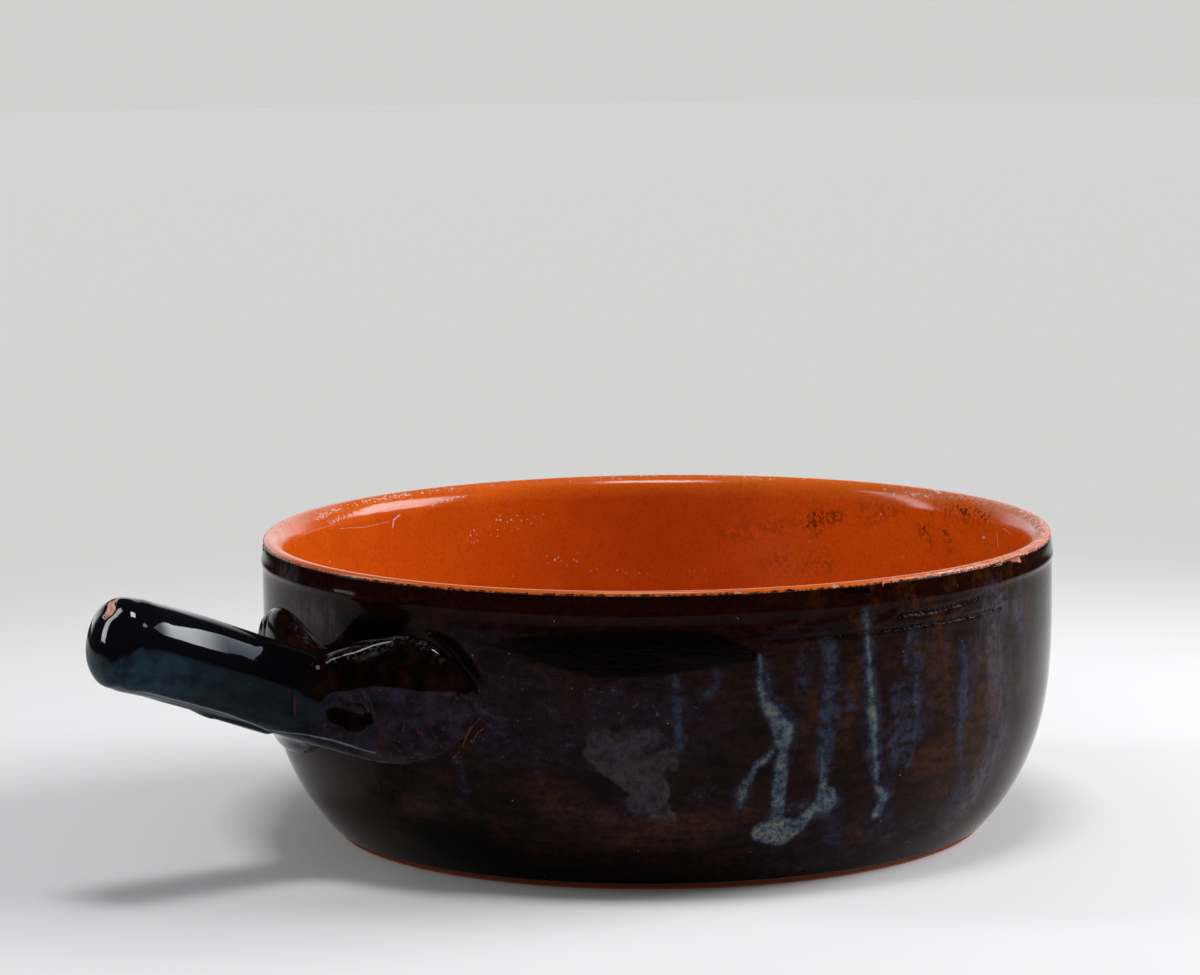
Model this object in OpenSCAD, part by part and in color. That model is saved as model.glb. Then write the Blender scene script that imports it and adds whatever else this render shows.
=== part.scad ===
// Glazed terracotta cooking pot with one solid stick handle
// The pot stands on z = 0 with its turning axis on +Z. The handle points along -X and its front is -Y.

/* [Bowl] */
// Outer diameter of the glazed rim
rim_d = 240; // [210:1:300]
// Height of the glazed lip above the table
pot_h = 90; // [80:1:120]
// How far below the lip the wall is widest
belly_drop = 16; // [10:1:24]
// How far the widest place stands out past the rim
belly_bulge = 0.4; // [0.1:0.1:3]
// How far the wall draws in from its widest place to the foot
foot_inset = 21.5; // [12:0.5:30]
// How sharply the wall turns in above the foot
wall_curve = 3.3; // [2.2:0.1:4]
// Thickness of the clay wall
wall_t = 6; // [5:0.5:9]
// Thickness of the clay floor
floor_t = 8; // [6:0.5:12]
// Width of the round inner corner between wall and floor
corner_w = 30; // [20:1:40]
// Squareness of that corner: 2 is a plain ellipse
corner_shape = 2.5; // [2:0.1:3]

/* [Lip and foot] */
// Radius of the lip's outer edge
lip_edge_r = 0.9; // [0.5:0.1:2]
// How far down the inner side of the lip is rounded
lip_drop = 6.5; // [4:0.5:10]
// Radius of the bare edge round the foot
foot_edge_r = 0.6; // [0.3:0.1:1.5]

/* [Glaze] */
// Thickness of the glaze coats
glaze_t = 0.4; // [0.3:0.1:0.8]
// Height of the bare clay band round the foot
bare_h = 2.3; // [1.6:0.1:8]

/* [Handle grip] */
// How far the handle reaches out past the rim
grip_reach = 73.5; // [60:0.5:110]
// Thickness of the grip at its outer end
grip_end_d = 25.4; // [22:0.2:32]
// Thickness of the grip at its neck
grip_neck_d = 24.4; // [20:0.2:26]
// How far below the lip the grip's centre line meets the wall
root_drop = 39.5; // [37:0.5:46]
// How much higher the outer end lies than the root
grip_rise = 26; // [10:0.5:34]
// Slope of the grip where it leaves the wall, in degrees
root_tilt = 18; // [10:1:28]
// Slope of the grip at its outer end, in degrees
end_tilt = 12; // [0:1:18]
// Length of the rounded outer end
end_round = 10; // [6:0.5:13]
// Gap between the handle's clay and the wall that it is bedded on
bed_gap = 0.1; // [0.1:0.05:0.3]
// How far off the wall the neck begins to flare
neck_out = 16; // [12:0.5:22]

/* [Handle wings] */
// Reach of the front wing along the wall
front_span = 62; // [50:1:70]
// Reach of the back wing along the wall
back_span = 60; // [50:1:70]
// Height of the front wing's crest above the root's centre
front_crest = 24; // [19:0.5:27]
// Height of the back wing's crest above the root's centre
back_crest = 24; // [19:0.5:27]
// How far along the wall the front wing's crest lies
front_crest_at = 38; // [26:1:42]
// How far along the wall the back wing's crest lies
back_crest_at = 29; // [22:1:38]
// How far the front wing reaches below the root's centre
front_low = 14.5; // [13.5:0.5:20]
// How far the back wing reaches below the root's centre
back_low = 19; // [14:0.5:22]
// Thickness of the front wing
front_t = 7; // [4:0.5:10]
// Thickness of the back wing
back_t = 5; // [4:0.5:10]
// Thickness of the clay between the wings, above and below the neck
saddle_t = 6; // [4:0.5:8]
// Depth of the thumb mark beside the neck
thumb_depth = 2.6; // [0:0.2:3]
// Radius of the thumb mark
thumb_r = 7; // [5:0.5:9]

/* [Hidden] */
$fn = 96;

clay = [0.78, 0.38, 0.22];
pale_clay = [0.80, 0.45, 0.30];
clear_coat = [0.82, 0.33, 0.10];
dark_coat = [0.13, 0.07, 0.06];
handle_coat = [0.08, 0.05, 0.05];

// Steps along each curve of the profile
wall_steps = 22;
corner_steps = 18;
lip_steps = 8;
edge_steps = 4;

rim_r = rim_d / 2 - glaze_t;
belly_r = rim_r + belly_bulge;
belly_h = pot_h - belly_drop;
// Height where the straight outer wall ends and the lip's outer edge begins
lip_h = pot_h - glaze_t - lip_edge_r;
// Height where the inner wall ends and the lip's rounded inner side begins
throat_h = lip_h + lip_edge_r - lip_drop;
// Radius of the foot's edge, which stays within the bare band
foot_round = min(foot_edge_r, bare_h / 2);
// How the rings of the wall crowd together towards the foot, where it bends most
wall_crowding = 1.4;

// Radius of the clay wall's outer face at height z
function wall_r(z) =
    z < belly_h
    ? belly_r - foot_inset * pow(1 - max(z, 0) / belly_h, wall_curve)
    : belly_r - belly_bulge * pow((z - belly_h) / (lip_h - belly_h), 2);

// Outer face from height z0 to z1, moved out by t
function wall_line(z0, z1, t) = [
    for (i = [0 : wall_steps])
        let (z = z0 + (z1 - z0) * pow(i / wall_steps, wall_crowding))
        [wall_r(z) + t, z]
];

// Rounded outer edge of the lip, from the wall up to the crest, thickened by t
function lip_edge(t) = [
    for (i = [0 : edge_steps])
        let (a = 90 * i / edge_steps)
        [wall_r(lip_h) - lip_edge_r + (lip_edge_r + t) * cos(a), lip_h + (lip_edge_r + t) * sin(a)]
];

// Rounded inner side of the lip, from the crest down to the throat, thickened by t
function lip_inside(t) = [
    for (i = [1 : lip_steps])
        let (a = 90 + 90 * i / lip_steps)
        [wall_r(lip_h) - lip_edge_r + (wall_t - lip_edge_r + t) * cos(a), throat_h + (lip_drop + t) * sin(a)]
];

// Inner wall's round corner, from its top at the belly's height down to the floor, thickened by t
inner_r = wall_r(lip_h) - wall_t;
function corner_line(t) = [
    for (i = [0 : corner_steps])
        let (a = 90 * i / corner_steps, p = 2 / corner_shape)
        [inner_r - corner_w + (corner_w - t) * pow(max(cos(a), 0), p),
         belly_h - (belly_h - floor_t - t) * pow(sin(a), p)]
];

// Whole inner face from the lip's outer edge to the centre of the floor, thickened by t
function inner_line(t) = concat(lip_edge(t), lip_inside(t), corner_line(t), [[0, floor_t + t]]);

// Rounded bare edge of the foot
function foot_edge() = [
    for (i = [0 : edge_steps])
        let (a = 90 * i / edge_steps)
        [wall_r(foot_round) - foot_round + foot_round * sin(a), foot_round - foot_round * cos(a)]
];

function reversed(v) = [for (i = [len(v) - 1 : -1 : 0]) v[i]];
// A list without its first point, which the list before it already holds
function tail(v) = [for (i = [1 : len(v) - 1]) v[i]];

// Steps round the handle and along it
side_steps = 48;
half_steps = side_steps / 2;
grip_rings = 12;
cap_rings = 6;
flare_rings = 9;
bed_rings = 6;

root_h = pot_h - root_drop;
root_x = wall_r(root_h);
end_x = rim_d / 2 + grip_reach;
end_h = root_h + grip_rise;
neck_r = grip_neck_d / 2;
end_r = grip_end_d / 2;
grip_len = end_x - root_x;

// Centre line of the grip at u from 0 at the wall to 1 at the outer end, as distance and height
function bezier(p, u) =
    p[0] * pow(1 - u, 3) + 3 * p[1] * pow(1 - u, 2) * u + 3 * p[2] * (1 - u) * u * u + p[3] * pow(u, 3);
axis_points = [
    [root_x, root_h],
    [root_x + grip_len / 3, root_h + grip_len / 3 * tan(root_tilt)],
    [end_x - grip_len / 3, end_h - grip_len / 3 * tan(end_tilt)],
    [end_x, end_h]
];
function axis_tilt(u) =
    let (d = bezier(axis_points, u + 0.01) - bezier(axis_points, u - 0.01))
    atan2(d[1], d[0]);

// Ring of the grip at u, round the centre line, with radius r
function grip_ring(u, r) =
    let (c = bezier(axis_points, u), tilt = axis_tilt(u))
    [for (k = [0 : side_steps - 1])
        let (a = 90 - 360 * k / side_steps)
        [-c[0] + r * sin(a) * sin(tilt), -r * cos(a), c[1] + r * sin(a) * cos(tilt)]
    ];

// Share of the centre line at the neck and where the rounded end begins
neck_u = neck_out / grip_len;
end_u = 1 - end_round / grip_len;
function grip_r(u) = neck_r + (end_r - neck_r) * (u - neck_u) / (end_u - neck_u);

// Grip surface from the neck to the tip, thickened by t
function grip_rings_at(t) = [
    for (i = [0 : grip_rings])
        let (u = neck_u + (end_u - neck_u) * i / grip_rings)
        grip_ring(u, grip_r(u) + t)
];
// The rounded end, blunter than a ball by the power cap_shape
cap_shape = 0.8;
function cap_rings_at(t) = [
    for (i = [1 : cap_rings])
        let (a = 90 * i / (cap_rings + 0.6), reach = (end_round + t) * pow(sin(a), cap_shape))
        grip_ring(end_u + reach / grip_len, (end_r + t) * pow(cos(a), cap_shape))
];
function tip_at(t) =
    let (c = bezier(axis_points, end_u + (end_round + t) / grip_len))
    [-c[0], 0, c[1]];

// Point on the handle's bed: s along the wall from its middle, h up from the root's centre, t off the bed
function on_wall(s, h, t) =
    let (z = root_h + h, a = s / rim_r * 180 / PI, r = wall_r(z) + bed_gap + t)
    [-r * cos(a), -r * sin(a), z];

// Outline of one wing on the wall, from the top of the neck round to its underside, through the points
// that its crest, its tip and its low edge fix
top_h = neck_r / cos(root_tilt) + 2;
low_h = neck_r / cos(root_tilt) + 0.5;
function wing_outline(span, crest, crest_at, low) = [
    [0, top_h],
    [0.5 * crest_at, 0.4 * top_h + 0.6 * crest],
    [crest_at, crest],
    [0.4 * crest_at + 0.6 * span, 0.8 * crest],
    [span, 0.36 * crest],
    [0.9 * span, -0.4 * low],
    [0.6 * span, -low],
    [0.3 * span, -low],
    [0, -low_h]
];

// Smooth curve through the outline's points, at u counted in points
function spline(p, u) =
    let (
        n = len(p) - 1,
        i = min(floor(u), n - 1),
        f = u - i,
        a = i > 0 ? p[i - 1] : [-p[1][0], p[1][1]],
        b = p[i],
        c = p[i + 1],
        d = i + 2 <= n ? p[i + 2] : [-p[n - 1][0], p[n - 1][1]]
    )
    b + f * (c - a) / 2 + f * f * (2 * a - 5 * b + 4 * c - d) / 2 + f * f * f * (3 * b - a - 3 * c + d) / 2;

front_outline = wing_outline(front_span, front_crest, front_crest_at, front_low);
back_outline = wing_outline(back_span, back_crest, back_crest_at, back_low);
outline_step = (len(front_outline) - 1) / half_steps;

// Root outline's point at side step k, clockwise from the top: front wing first, then the back one
function outline_at(k) =
    k <= half_steps
    ? spline(front_outline, k * outline_step)
    : let (q = spline(back_outline, (side_steps - k) * outline_step)) [-q[0], q[1]];

// Foot of the neck's own round core on the wall at side step k, scaled by f
function core_at(k, f) =
    let (a = 90 - 360 * k / side_steps)
    on_wall(f * neck_r * cos(a), f * neck_r * sin(a) / cos(root_tilt), 0);

// Thickness of the clay at side step k, which eases from the saddles into each wing
function clay_t(k) =
    let (side = k <= half_steps ? front_t : back_t)
    saddle_t + (side - saddle_t) * pow(sin(180 * k / half_steps), 2);

// Flare from the neck down to the root's outline at side step k, thickened by t, without the thumb mark.
// It leaves the neck along the grip for neck_in, and comes down on the outline from flare_lift clay
// thicknesses high at flare_reach of the way out.
neck_in = 0.8 * neck_out;
flare_reach = 0.85;
flare_lift = 1.6;
function flare_plain(k, w, t) =
    let (
        from = grip_ring(neck_u, neck_r + t)[k],
        tilt = axis_tilt(neck_u),
        q = outline_at(k),
        by = [neck_in * cos(tilt), 0, -neck_in * sin(tilt)],
        over = on_wall(flare_reach * q[0], flare_reach * q[1], flare_lift * clay_t(k) + t)
    )
    bezier([from, from + by, over, on_wall(q[0], q[1], t)], w);

// Centre of the thumb mark, beside the neck on the front wing and a little below the root's centre
thumb_low = 2;
thumb_at = on_wall(neck_r + 0.8 * thumb_r, -thumb_low, 1.5 * front_t);
function flare_point(k, w, t) =
    let (
        p = flare_plain(k, w, t),
        near = norm(p - thumb_at) / thumb_r,
        push = thumb_depth * exp(-near * near) / norm([p[0], p[1]])
    )
    [p[0] * (1 - push), p[1] * (1 - push), p[2]];

// Surface rings of the whole handle, from the root's outline to the tip, thickened by t
function flare_rings_at(t) = [
    for (j = [0 : flare_rings - 1])
        [for (k = [0 : side_steps - 1]) flare_point(k, 1 - j / flare_rings, t)]
];
function handle_rings(t) = concat(flare_rings_at(t), grip_rings_at(t), cap_rings_at(t));

// Closed loop of points across a wing at side step k: down the flare, back along the wall and up the core
core_step = 2;
function wing_loop(k) =
    let (kk = k % side_steps, q = outline_at(k), c = core_at(kk, 1), top = grip_ring(neck_u, neck_r)[kk])
    concat(
        [c],
        [for (j = [1 : core_step]) c + (top - c) * j / core_step],
        [for (j = [flare_rings - 1 : -1 : 0]) flare_point(kk, 1 - j / flare_rings, 0)],
        [for (j = [1 : bed_rings - 1])
            let (
                a = 90 - 360 * kk / side_steps,
                s = neck_r * cos(a),
                h = neck_r * sin(a) / cos(root_tilt)
            )
            on_wall(q[0] + (s - q[0]) * j / bed_rings, q[1] + (h - q[1]) * j / bed_rings, 0)]
    );

// Two triangles for each step between neighbouring rings of n points, numbered from first
function band(first, rings, n, closed, out) = [
    for (i = [0 : rings - 2], k = [0 : (closed ? n - 1 : n - 2)])
        let (
            a = first + i * n + k,
            b = first + i * n + (k + 1) % n,
            c = b + n,
            d = a + n
        )
        each out ? [[a, b, c], [a, c, d]] : [[a, c, b], [a, d, c]]
];
// Triangles from one point to a ring of n points that begins at first
function fan(tip, first, n, out) = [
    for (k = [0 : n - 1])
        let (a = first + k, b = first + (k + 1) % n)
        out ? [a, b, tip] : [b, a, tip]
];
function joined(lists) = [for (v = lists) each v];

module turned(profile) {
    rotate_extrude()
        polygon(profile);
}

// Side view of the root's outline, cut through the wall coat
module root_window() {
    outline = [for (k = [0 : side_steps - 1]) let (q = outline_at(k)) on_wall(q[0], q[1], 0)];
    rotate([90, 0, -90])
        linear_extrude(height = rim_d)
            polygon([for (p = outline) [-p[1], p[2]]]);
}

// Thrown body of red clay: foot, wall, lip and floor in one piece
module bowl() {
    color(clay)
        turned(concat(
            [[0, 0]],
            foot_edge(),
            tail(wall_line(foot_round, lip_h, 0)),
            tail(inner_line(0))
        ));
}

// Clear coat over the floor, the inner wall and the lip
module inner_glaze() {
    color(clear_coat)
        turned(concat(inner_line(0), reversed(inner_line(glaze_t))));
}

// Dark coat on the outer wall, open where the handle was pressed on before glazing
module outer_glaze() {
    color(dark_coat)
        difference() {
            turned(concat(
                wall_line(bare_h, lip_h, 0),
                reversed(wall_line(bare_h, lip_h, glaze_t))
            ));
            root_window();
        }
}

// Rolled stick of clay, bedded on the wall
module handle_grip() {
    bed = [
        for (j = [1 : bed_rings])
            [for (k = [0 : side_steps - 1]) core_at(k, j / bed_rings)]
    ];
    core = [
        for (j = [1 : core_step - 1])
            let (top = grip_ring(neck_u, neck_r))
            [for (k = [0 : side_steps - 1]) core_at(k, 1) + (top[k] - core_at(k, 1)) * j / core_step]
    ];
    rings = concat(bed, core, grip_rings_at(0), cap_rings_at(0));
    n = len(rings) * side_steps;
    color(pale_clay)
        polyhedron(
            points = concat(joined(rings), [on_wall(0, 0, 0), tip_at(0)]),
            faces = concat(
                band(0, len(rings), side_steps, true, true),
                fan(n, 0, side_steps, false),
                fan(n + 1, n - side_steps, side_steps, true)
            )
        );
}

// Wad of clay pressed on beside the neck, from side step k0 to k1
module root_wing(k0, k1) {
    loops = [for (k = [k0 : k1]) wing_loop(k)];
    m = len(loops[0]);
    last = (len(loops) - 1) * m;
    polyhedron(
        points = joined(loops),
        faces = concat(
            band(0, len(loops), m, true, false),
            [[for (j = [0 : m - 1]) j]],
            [[for (j = [0 : m - 1]) last + (j == 0 ? 0 : m - j)]]
        )
    );
}

module front_root_wing() {
    color(pale_clay)
        root_wing(0, half_steps);
}

module back_root_wing() {
    color(pale_clay)
        root_wing(half_steps, side_steps);
}

// Dark coat over the grip and both wings, down to the edge of the wall's own coat
module handle_glaze() {
    outer = handle_rings(glaze_t);
    inner = handle_rings(0);
    n = len(outer) * side_steps;
    color(handle_coat)
        polyhedron(
            points = concat(joined(outer), [tip_at(glaze_t)], joined(inner), [tip_at(0)]),
            faces = concat(
                band(0, len(outer), side_steps, true, true),
                fan(n, n - side_steps, side_steps, true),
                band(n + 1, len(inner), side_steps, true, false),
                fan(2 * n + 1, 2 * n + 1 - side_steps, side_steps, false),
                [for (k = [0 : side_steps - 1])
                    let (a = k, b = (k + 1) % side_steps)
                    each [[a, n + 1 + a, b], [b, n + 1 + a, n + 1 + b]]]
            )
        );
}

bowl();
handle_grip();
front_root_wing();
back_root_wing();
inner_glaze();
outer_glaze();
handle_glaze();
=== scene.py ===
# Glazed terracotta cooking pot: the looks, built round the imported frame.
# Every piece is in metres, in the row's frame. The handle points along -X.
import math

import bmesh
import bpy
import numpy as np
from mathutils import Matrix, Vector, noise


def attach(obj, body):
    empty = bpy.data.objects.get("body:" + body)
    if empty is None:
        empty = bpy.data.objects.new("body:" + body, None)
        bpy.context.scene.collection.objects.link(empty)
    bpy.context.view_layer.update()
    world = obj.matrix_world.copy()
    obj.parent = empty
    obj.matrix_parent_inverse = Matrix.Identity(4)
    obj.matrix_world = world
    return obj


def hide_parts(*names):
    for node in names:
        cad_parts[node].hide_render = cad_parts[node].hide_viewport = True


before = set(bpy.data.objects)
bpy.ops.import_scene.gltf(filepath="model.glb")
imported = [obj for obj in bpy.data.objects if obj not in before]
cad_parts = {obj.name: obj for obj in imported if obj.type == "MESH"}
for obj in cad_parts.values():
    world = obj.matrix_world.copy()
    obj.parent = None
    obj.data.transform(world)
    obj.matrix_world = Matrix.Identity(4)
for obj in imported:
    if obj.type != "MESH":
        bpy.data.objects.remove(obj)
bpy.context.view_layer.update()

MM = 0.001
UP = Vector((0, 0, 1))

# The photograph's view: the camera looks along +Y, turned this far towards +X
VIEW_TURN = math.radians(35)
VIEW_PITCH = math.radians(8.03)
VIEW_ROLL = math.radians(-0.70)
CAMERA_BACK = 1.3608
CAMERA_LEFT = 0.0171
CAMERA_UP = 0.2947
SIDEWAYS = Vector((math.cos(VIEW_TURN), -math.sin(VIEW_TURN), 0))
AHEAD = Vector((math.sin(VIEW_TURN), math.cos(VIEW_TURN), 0))

# The pot's own sizes, in mm, as in the CAD source
BELLY_R = 120.0
BELLY_H = 74.0
FOOT_INSET = 21.5
WALL_CURVE = 3.3
BELLY_BULGE = 0.4
LIP_H = 88.7
LIP_R = 0.9
LIP_DROP = 6.5
WALL_T = 6.0
THROAT_H = 83.1
FLOOR_T = 8.0
CORNER_W = 30.0
CORNER_SHAPE = 2.5
GLAZE_T = 0.4
BARE_H = 2.3
HIDDEN_T = 0.06
LIP_X = BELLY_R - BELLY_BULGE - LIP_R
INNER_R = BELLY_R - BELLY_BULGE - WALL_T

# The pot is turned in one sector of so many steps, which is then doubled until it goes all round
SECTOR_STEPS = 20
DOUBLINGS = 5
VOXEL = 0.55 * MM
HANDLE_NODES = ("handle_glaze", "handle_grip", "front_root_wing", "back_root_wing")


# Where the hand-made marks are. A place on the outer wall is (across, height) in mm: across is measured round
# the wall from the side that faces the camera, + to its right, and height from the table. A place inside is
# (across, drop): across from the far side, + to the right, and drop down the face from the lip's crest.
FACING = math.radians(-125)
FAR_SIDE = math.radians(55)
OUTER_R = 120.0
INSIDE_R = 113.0

# Marks on the outer wall. Each is a line of (across, height, half width), joined one point to the next
CREAM_RUNS = (
    ((27.4, 70.9, 0.3), (27.3, 61.0, 0.7), (30.0, 56.0, 1.5), (34.0, 49.5, 2.8), (34.7, 43.4, 1.3),
     (34.0, 38.4, 1.6), (33.8, 30.0, 1.9), (34.0, 21.5, 1.6)),
    ((29.8, 18.5, 2.8), (35.9, 18.2, 4.4), (41.4, 20.0, 2.4), (45.2, 24.6, 1.0), (48.7, 27.0, 3.9)),
    ((31.1, 43.1, 0.7), (26.5, 38.9, 0.7), (22.9, 32.8, 1.0), (22.3, 27.6, 0.5)),
    ((47.0, 34.0, 0.9), (48.0, 29.0, 1.3)),
    ((60.2, 81.0, 0.15), (60.4, 72.8, 0.5), (61.0, 61.8, 0.55), (61.9, 53.0, 1.1), (62.9, 46.0, 0.9), (64.2, 38.0, 0.4),
     (65.7, 29.5, 0.5), (69.5, 25.6, 1.7), (68.8, 20.6, 1.5)),
    ((46.7, 40.0, 0.2), (47.2, 34.0, 0.7)),
)
BLUE_RUNS = (
    ((48.1, 74.0, 0.8), (49.0, 66.6, 1.0), (47.5, 55.8, 1.6), (46.7, 47.8, 1.9), (47.0, 37.4, 1.3),
     (47.8, 27.0, 2.0)),
    ((60.1, 82.0, 0.8), (60.3, 72.8, 1.0), (61.0, 61.8, 1.3), (61.7, 54.5, 1.9), (62.7, 47.6, 2.0),
     (64.1, 39.2, 1.5), (65.7, 29.5, 0.8)),
    ((97.3, 66.0, 0.9), (97.5, 59.3, 1.3), (97.4, 51.1, 1.2), (97.2, 42.2, 0.9), (99.3, 31.6, 0.6)),
    ((74.6, 72.7, 0.6), (73.5, 65.0, 0.6)),
    ((77.6, 59.9, 0.5), (78.1, 44.3, 0.8), (76.7, 34.6, 0.8)),
    ((12.5, 59.9, 0.3), (14.8, 62.4, 0.3), (15.0, 65.8, 0.3)),
    ((3.3, 66.1, 0.4), (4.0, 55.2, 0.6), (4.5, 44.2, 0.8)),
)
GREY_PATCH = (
    ((-18.0, 47.2, 4.2), (-13.0, 43.8, 5.2), (-8.5, 38.5, 6.4), (-4.0, 32.5, 5.6), (-2.0, 27.6, 3.8)),
    ((-20.5, 44.0, 3.0), (-9.0, 38.4, 5.6)), ((-11.0, 48.4, 2.6), (-3.6, 48.6, 2.4)),
    ((-3.0, 40.0, 3.8), (2.2, 44.0, 1.6), (2.8, 40.2, 1.5)), ((-9.0, 29.2, 2.4), (2.0, 24.8, 1.8)),
)
CRACKS = (
    ((-53.4, 52.8, 0.10), (-56.0, 50.2, 0.16), (-58.4, 46.8, 0.16), (-60.2, 42.5, 0.12), (-63.8, 39.6, 0.2)),
    ((-52.0, 50.0, 0.10), (-54.3, 48.4, 0.14), (-56.6, 45.0, 0.10)),
)
DARK_PITS = (((-43.5, 58.7, 0.7), (-44.3, 59.2, 0.4)), ((-51.9, 55.8, 0.4), (-52.4, 55.9, 0.3)),
             ((53.1, 87.6, 0.5), (56.5, 87.2, 0.8)), ((58.0, 87.4, 0.6), (60.6, 87.2, 0.9)))
# Places where the glaze is chipped off the lip: (across, height, half width)
CHIPS = (
    ((124.8, 88.9, 1.2), (129.0, 88.6, 1.4)), ((50.5, 89.3, 0.5), (51.2, 88.9, 0.3)),
    ((21.0, 89.2, 0.5), (22.2, 89.0, 0.3)), ((112.0, 89.1, 0.4), (117.0, 88.7, 0.5)),
    ((119.5, 88.8, 0.4), (123.0, 88.9, 0.5)), ((-176.0, 88.0, 0.5), (-170.0, 88.2, 0.5)),
)
# Soft regions of the outer wall, painted on its points
MAUVE_HAZE = (
    ((-58.0, 70.0, 5.0), (-44.0, 62.0, 7.0), (-20.0, 58.0, 8.0), (4.0, 58.0, 6.0), (16.0, 56.0, 3.0)),
    ((-50.0, 46.0, 6.0), (-24.0, 46.0, 7.0), (8.0, 48.0, 5.0)),
    ((-62.9, 39.4, 1.6), (-60.9, 30.4, 1.4)), ((-20.0, 28.0, 3.0), (14.0, 30.0, 3.0)),
    ((-128.0, 75.5, 5.0), (-110.0, 75.0, 5.0)), ((-136.0, 66.0, 5.0), (-140.0, 50.0, 5.0)), ((-142.0, 84.0, 4.0), (-134.0, 84.0, 3.0)),
    ((-58.0, 74.0, 3.0), (-40.0, 77.5, 1.5)), ((94.0, 48.0, 4.0), (99.0, 60.0, 3.0), (112.0, 72.0, 5.0)),
    ((40.0, 8.0, 5.0), (80.0, 9.0, 7.0), (110.0, 16.0, 7.0), (120.0, 36.0, 6.0)),
    ((106.0, 78.0, 3.0), (112.0, 60.0, 7.0), (118.0, 44.0, 6.0)), ((112.0, 80.0, 3.0), (126.0, 74.0, 4.0)),
)
# Soft blue veils that hang down from the runs
VEILS = (
    ((27.5, 70.0, 1.6), (28.5, 60.0, 2.6), (35.0, 50.0, 3.6), (34.5, 40.0, 2.2)), ((34.0, 22.0, 3.6), (49.0, 25.0, 4.0)),
    ((39.0, 61.0, 1.8), (41.0, 71.0, 1.6)), ((48.0, 74.0, 2.0), (48.0, 52.0, 3.2), (47.0, 37.0, 2.4)),
    ((60.3, 80.0, 1.4), (60.8, 62.0, 2.2), (62.6, 48.0, 3.4), (65.0, 34.0, 2.2)), ((69.0, 23.0, 2.4), (70.0, 26.0, 2.4)),
    ((53.5, 58.0, 1.4), (55.5, 54.0, 1.4)), ((72.0, 56.0, 3.2), (73.0, 40.0, 4.6)), ((77.0, 73.0, 1.6), (78.5, 44.0, 2.4)),
    ((97.3, 67.0, 1.6), (97.5, 50.0, 2.6), (98.6, 36.0, 1.6)), ((128.8, 82.0, 1.2), (129.6, 66.0, 1.0)),
    ((12.5, 60.0, 1.0), (14.8, 62.4, 1.2), (15.0, 66.0, 1.0)), ((3.4, 66.0, 1.0), (4.3, 46.0, 1.6)),
    ((22.6, 33.0, 2.2), (22.3, 27.6, 1.8)), ((-54.0, 56.0, 1.5), (-48.0, 50.0, 2.0)), ((-62.9, 40.0, 0.9), (-60.9, 31.0, 0.9)),
)
# Where the wall is painted near black. Partly thick dark glaze: the drips high on the left and the fold at the near
# wing's tip. Partly painted shade and a painted dark reflection: the wide patch across the front below the band, the
# run low on the left by the foot, and the spot under the far wing.
DARK_GLAZE_AND_PAINTED_SHADE = (
    ((-50.0, 73.6, 0.6), (-43.0, 74.0, 2.2), (-28.0, 73.0, 4.6), (-18.0, 72.6, 6.4), (0.0, 72.8, 6.2),
     (12.0, 73.0, 5.2), (24.5, 71.6, 2.0)),
    ((-70.0, 12.0, 1.0), (-60.0, 9.0, 3.0), (-45.0, 5.0, 3.0), (-20.0, 1.6, 2.5)),
    ((-104.0, 75.5, 1.5), (-93.0, 78.0, 4.0), (-80.0, 80.0, 4.0), (-70.0, 84.0, 1.0)), ((-96.0, 72.0, 4.0), (-78.0, 73.0, 4.0)),
    ((-69.0, 75.8, 0.7), (-64.5, 74.4, 1.3), (-60.2, 71.3, 1.6), (-56.5, 67.0, 1.5), (-52.9, 61.6, 0.5)),
    ((-61.0, 68.0, 2.0), (-55.5, 62.6, 1.2)), ((-131.0, 34.0, 1.6), (-122.0, 36.5, 1.6)),
)
# Painted shade: the wall is painted near black low on the left and along the foot, where it reflects the shadowed
# floor, and in a patch high on the left.
SHADE = (((-90.0, 16.0, 3.0), (-80.0, 12.0, 7.0), (-65.0, 9.0, 9.0), (-50.0, 6.0, 8.0), (-38.0, 3.5, 5.0), (0.0, 2.0, 3.0),
          (40.0, 2.0, 2.0)),
         ((-100.0, 66.0, 5.0), (-84.0, 60.0, 4.0)))
# The tip of the near wing's coat, drawn out over the wall in a fold
BEAK = (((-69.0, 75.6, 0.4), (-64.5, 74.0, 0.7), (-60.4, 70.8, 0.9), (-56.8, 66.5, 0.8), (-53.4, 61.9, 0.2)),)
BROWN_CLAY = (
    ((-36.0, 31.0, 3.5), (-14.0, 21.0, 4.5), (12.0, 20.0, 4.0), (26.0, 24.0, 2.0)),
    ((40.5, 60.0, 2.0), (40.5, 50.0, 2.5)), ((78.0, 66.0, 3.0), (88.0, 64.0, 5.0), (87.0, 52.0, 3.0)),
    ((55.0, 66.0, 2.0), (54.5, 48.0, 2.5)), ((84.0, 34.0, 5.0), (106.0, 40.0, 6.0), (108.0, 62.0, 6.0)),
    ((-90.0, 14.0, 4.0), (-78.0, 24.0, 3.0)),
)
RAGGED_BAND = (((30.0, 75.3, 0.5), (60.0, 75.4, 0.6), (84.0, 75.6, 0.8), (116.0, 75.6, 0.6)),
               ((72.0, 79.4, 0.7), (84.0, 79.0, 0.8), (106.0, 80.6, 0.6)))
# Where the coat is lumpy, as it ran while it was thick
LUMPS = (((32.0, 78.5, 1.0), (50.0, 79.0, 1.8), (84.0, 78.0, 2.6), (118.0, 78.5, 2.2)), ((54.0, 86.8, 0.8), (62.0, 86.6, 1.0)))

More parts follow.
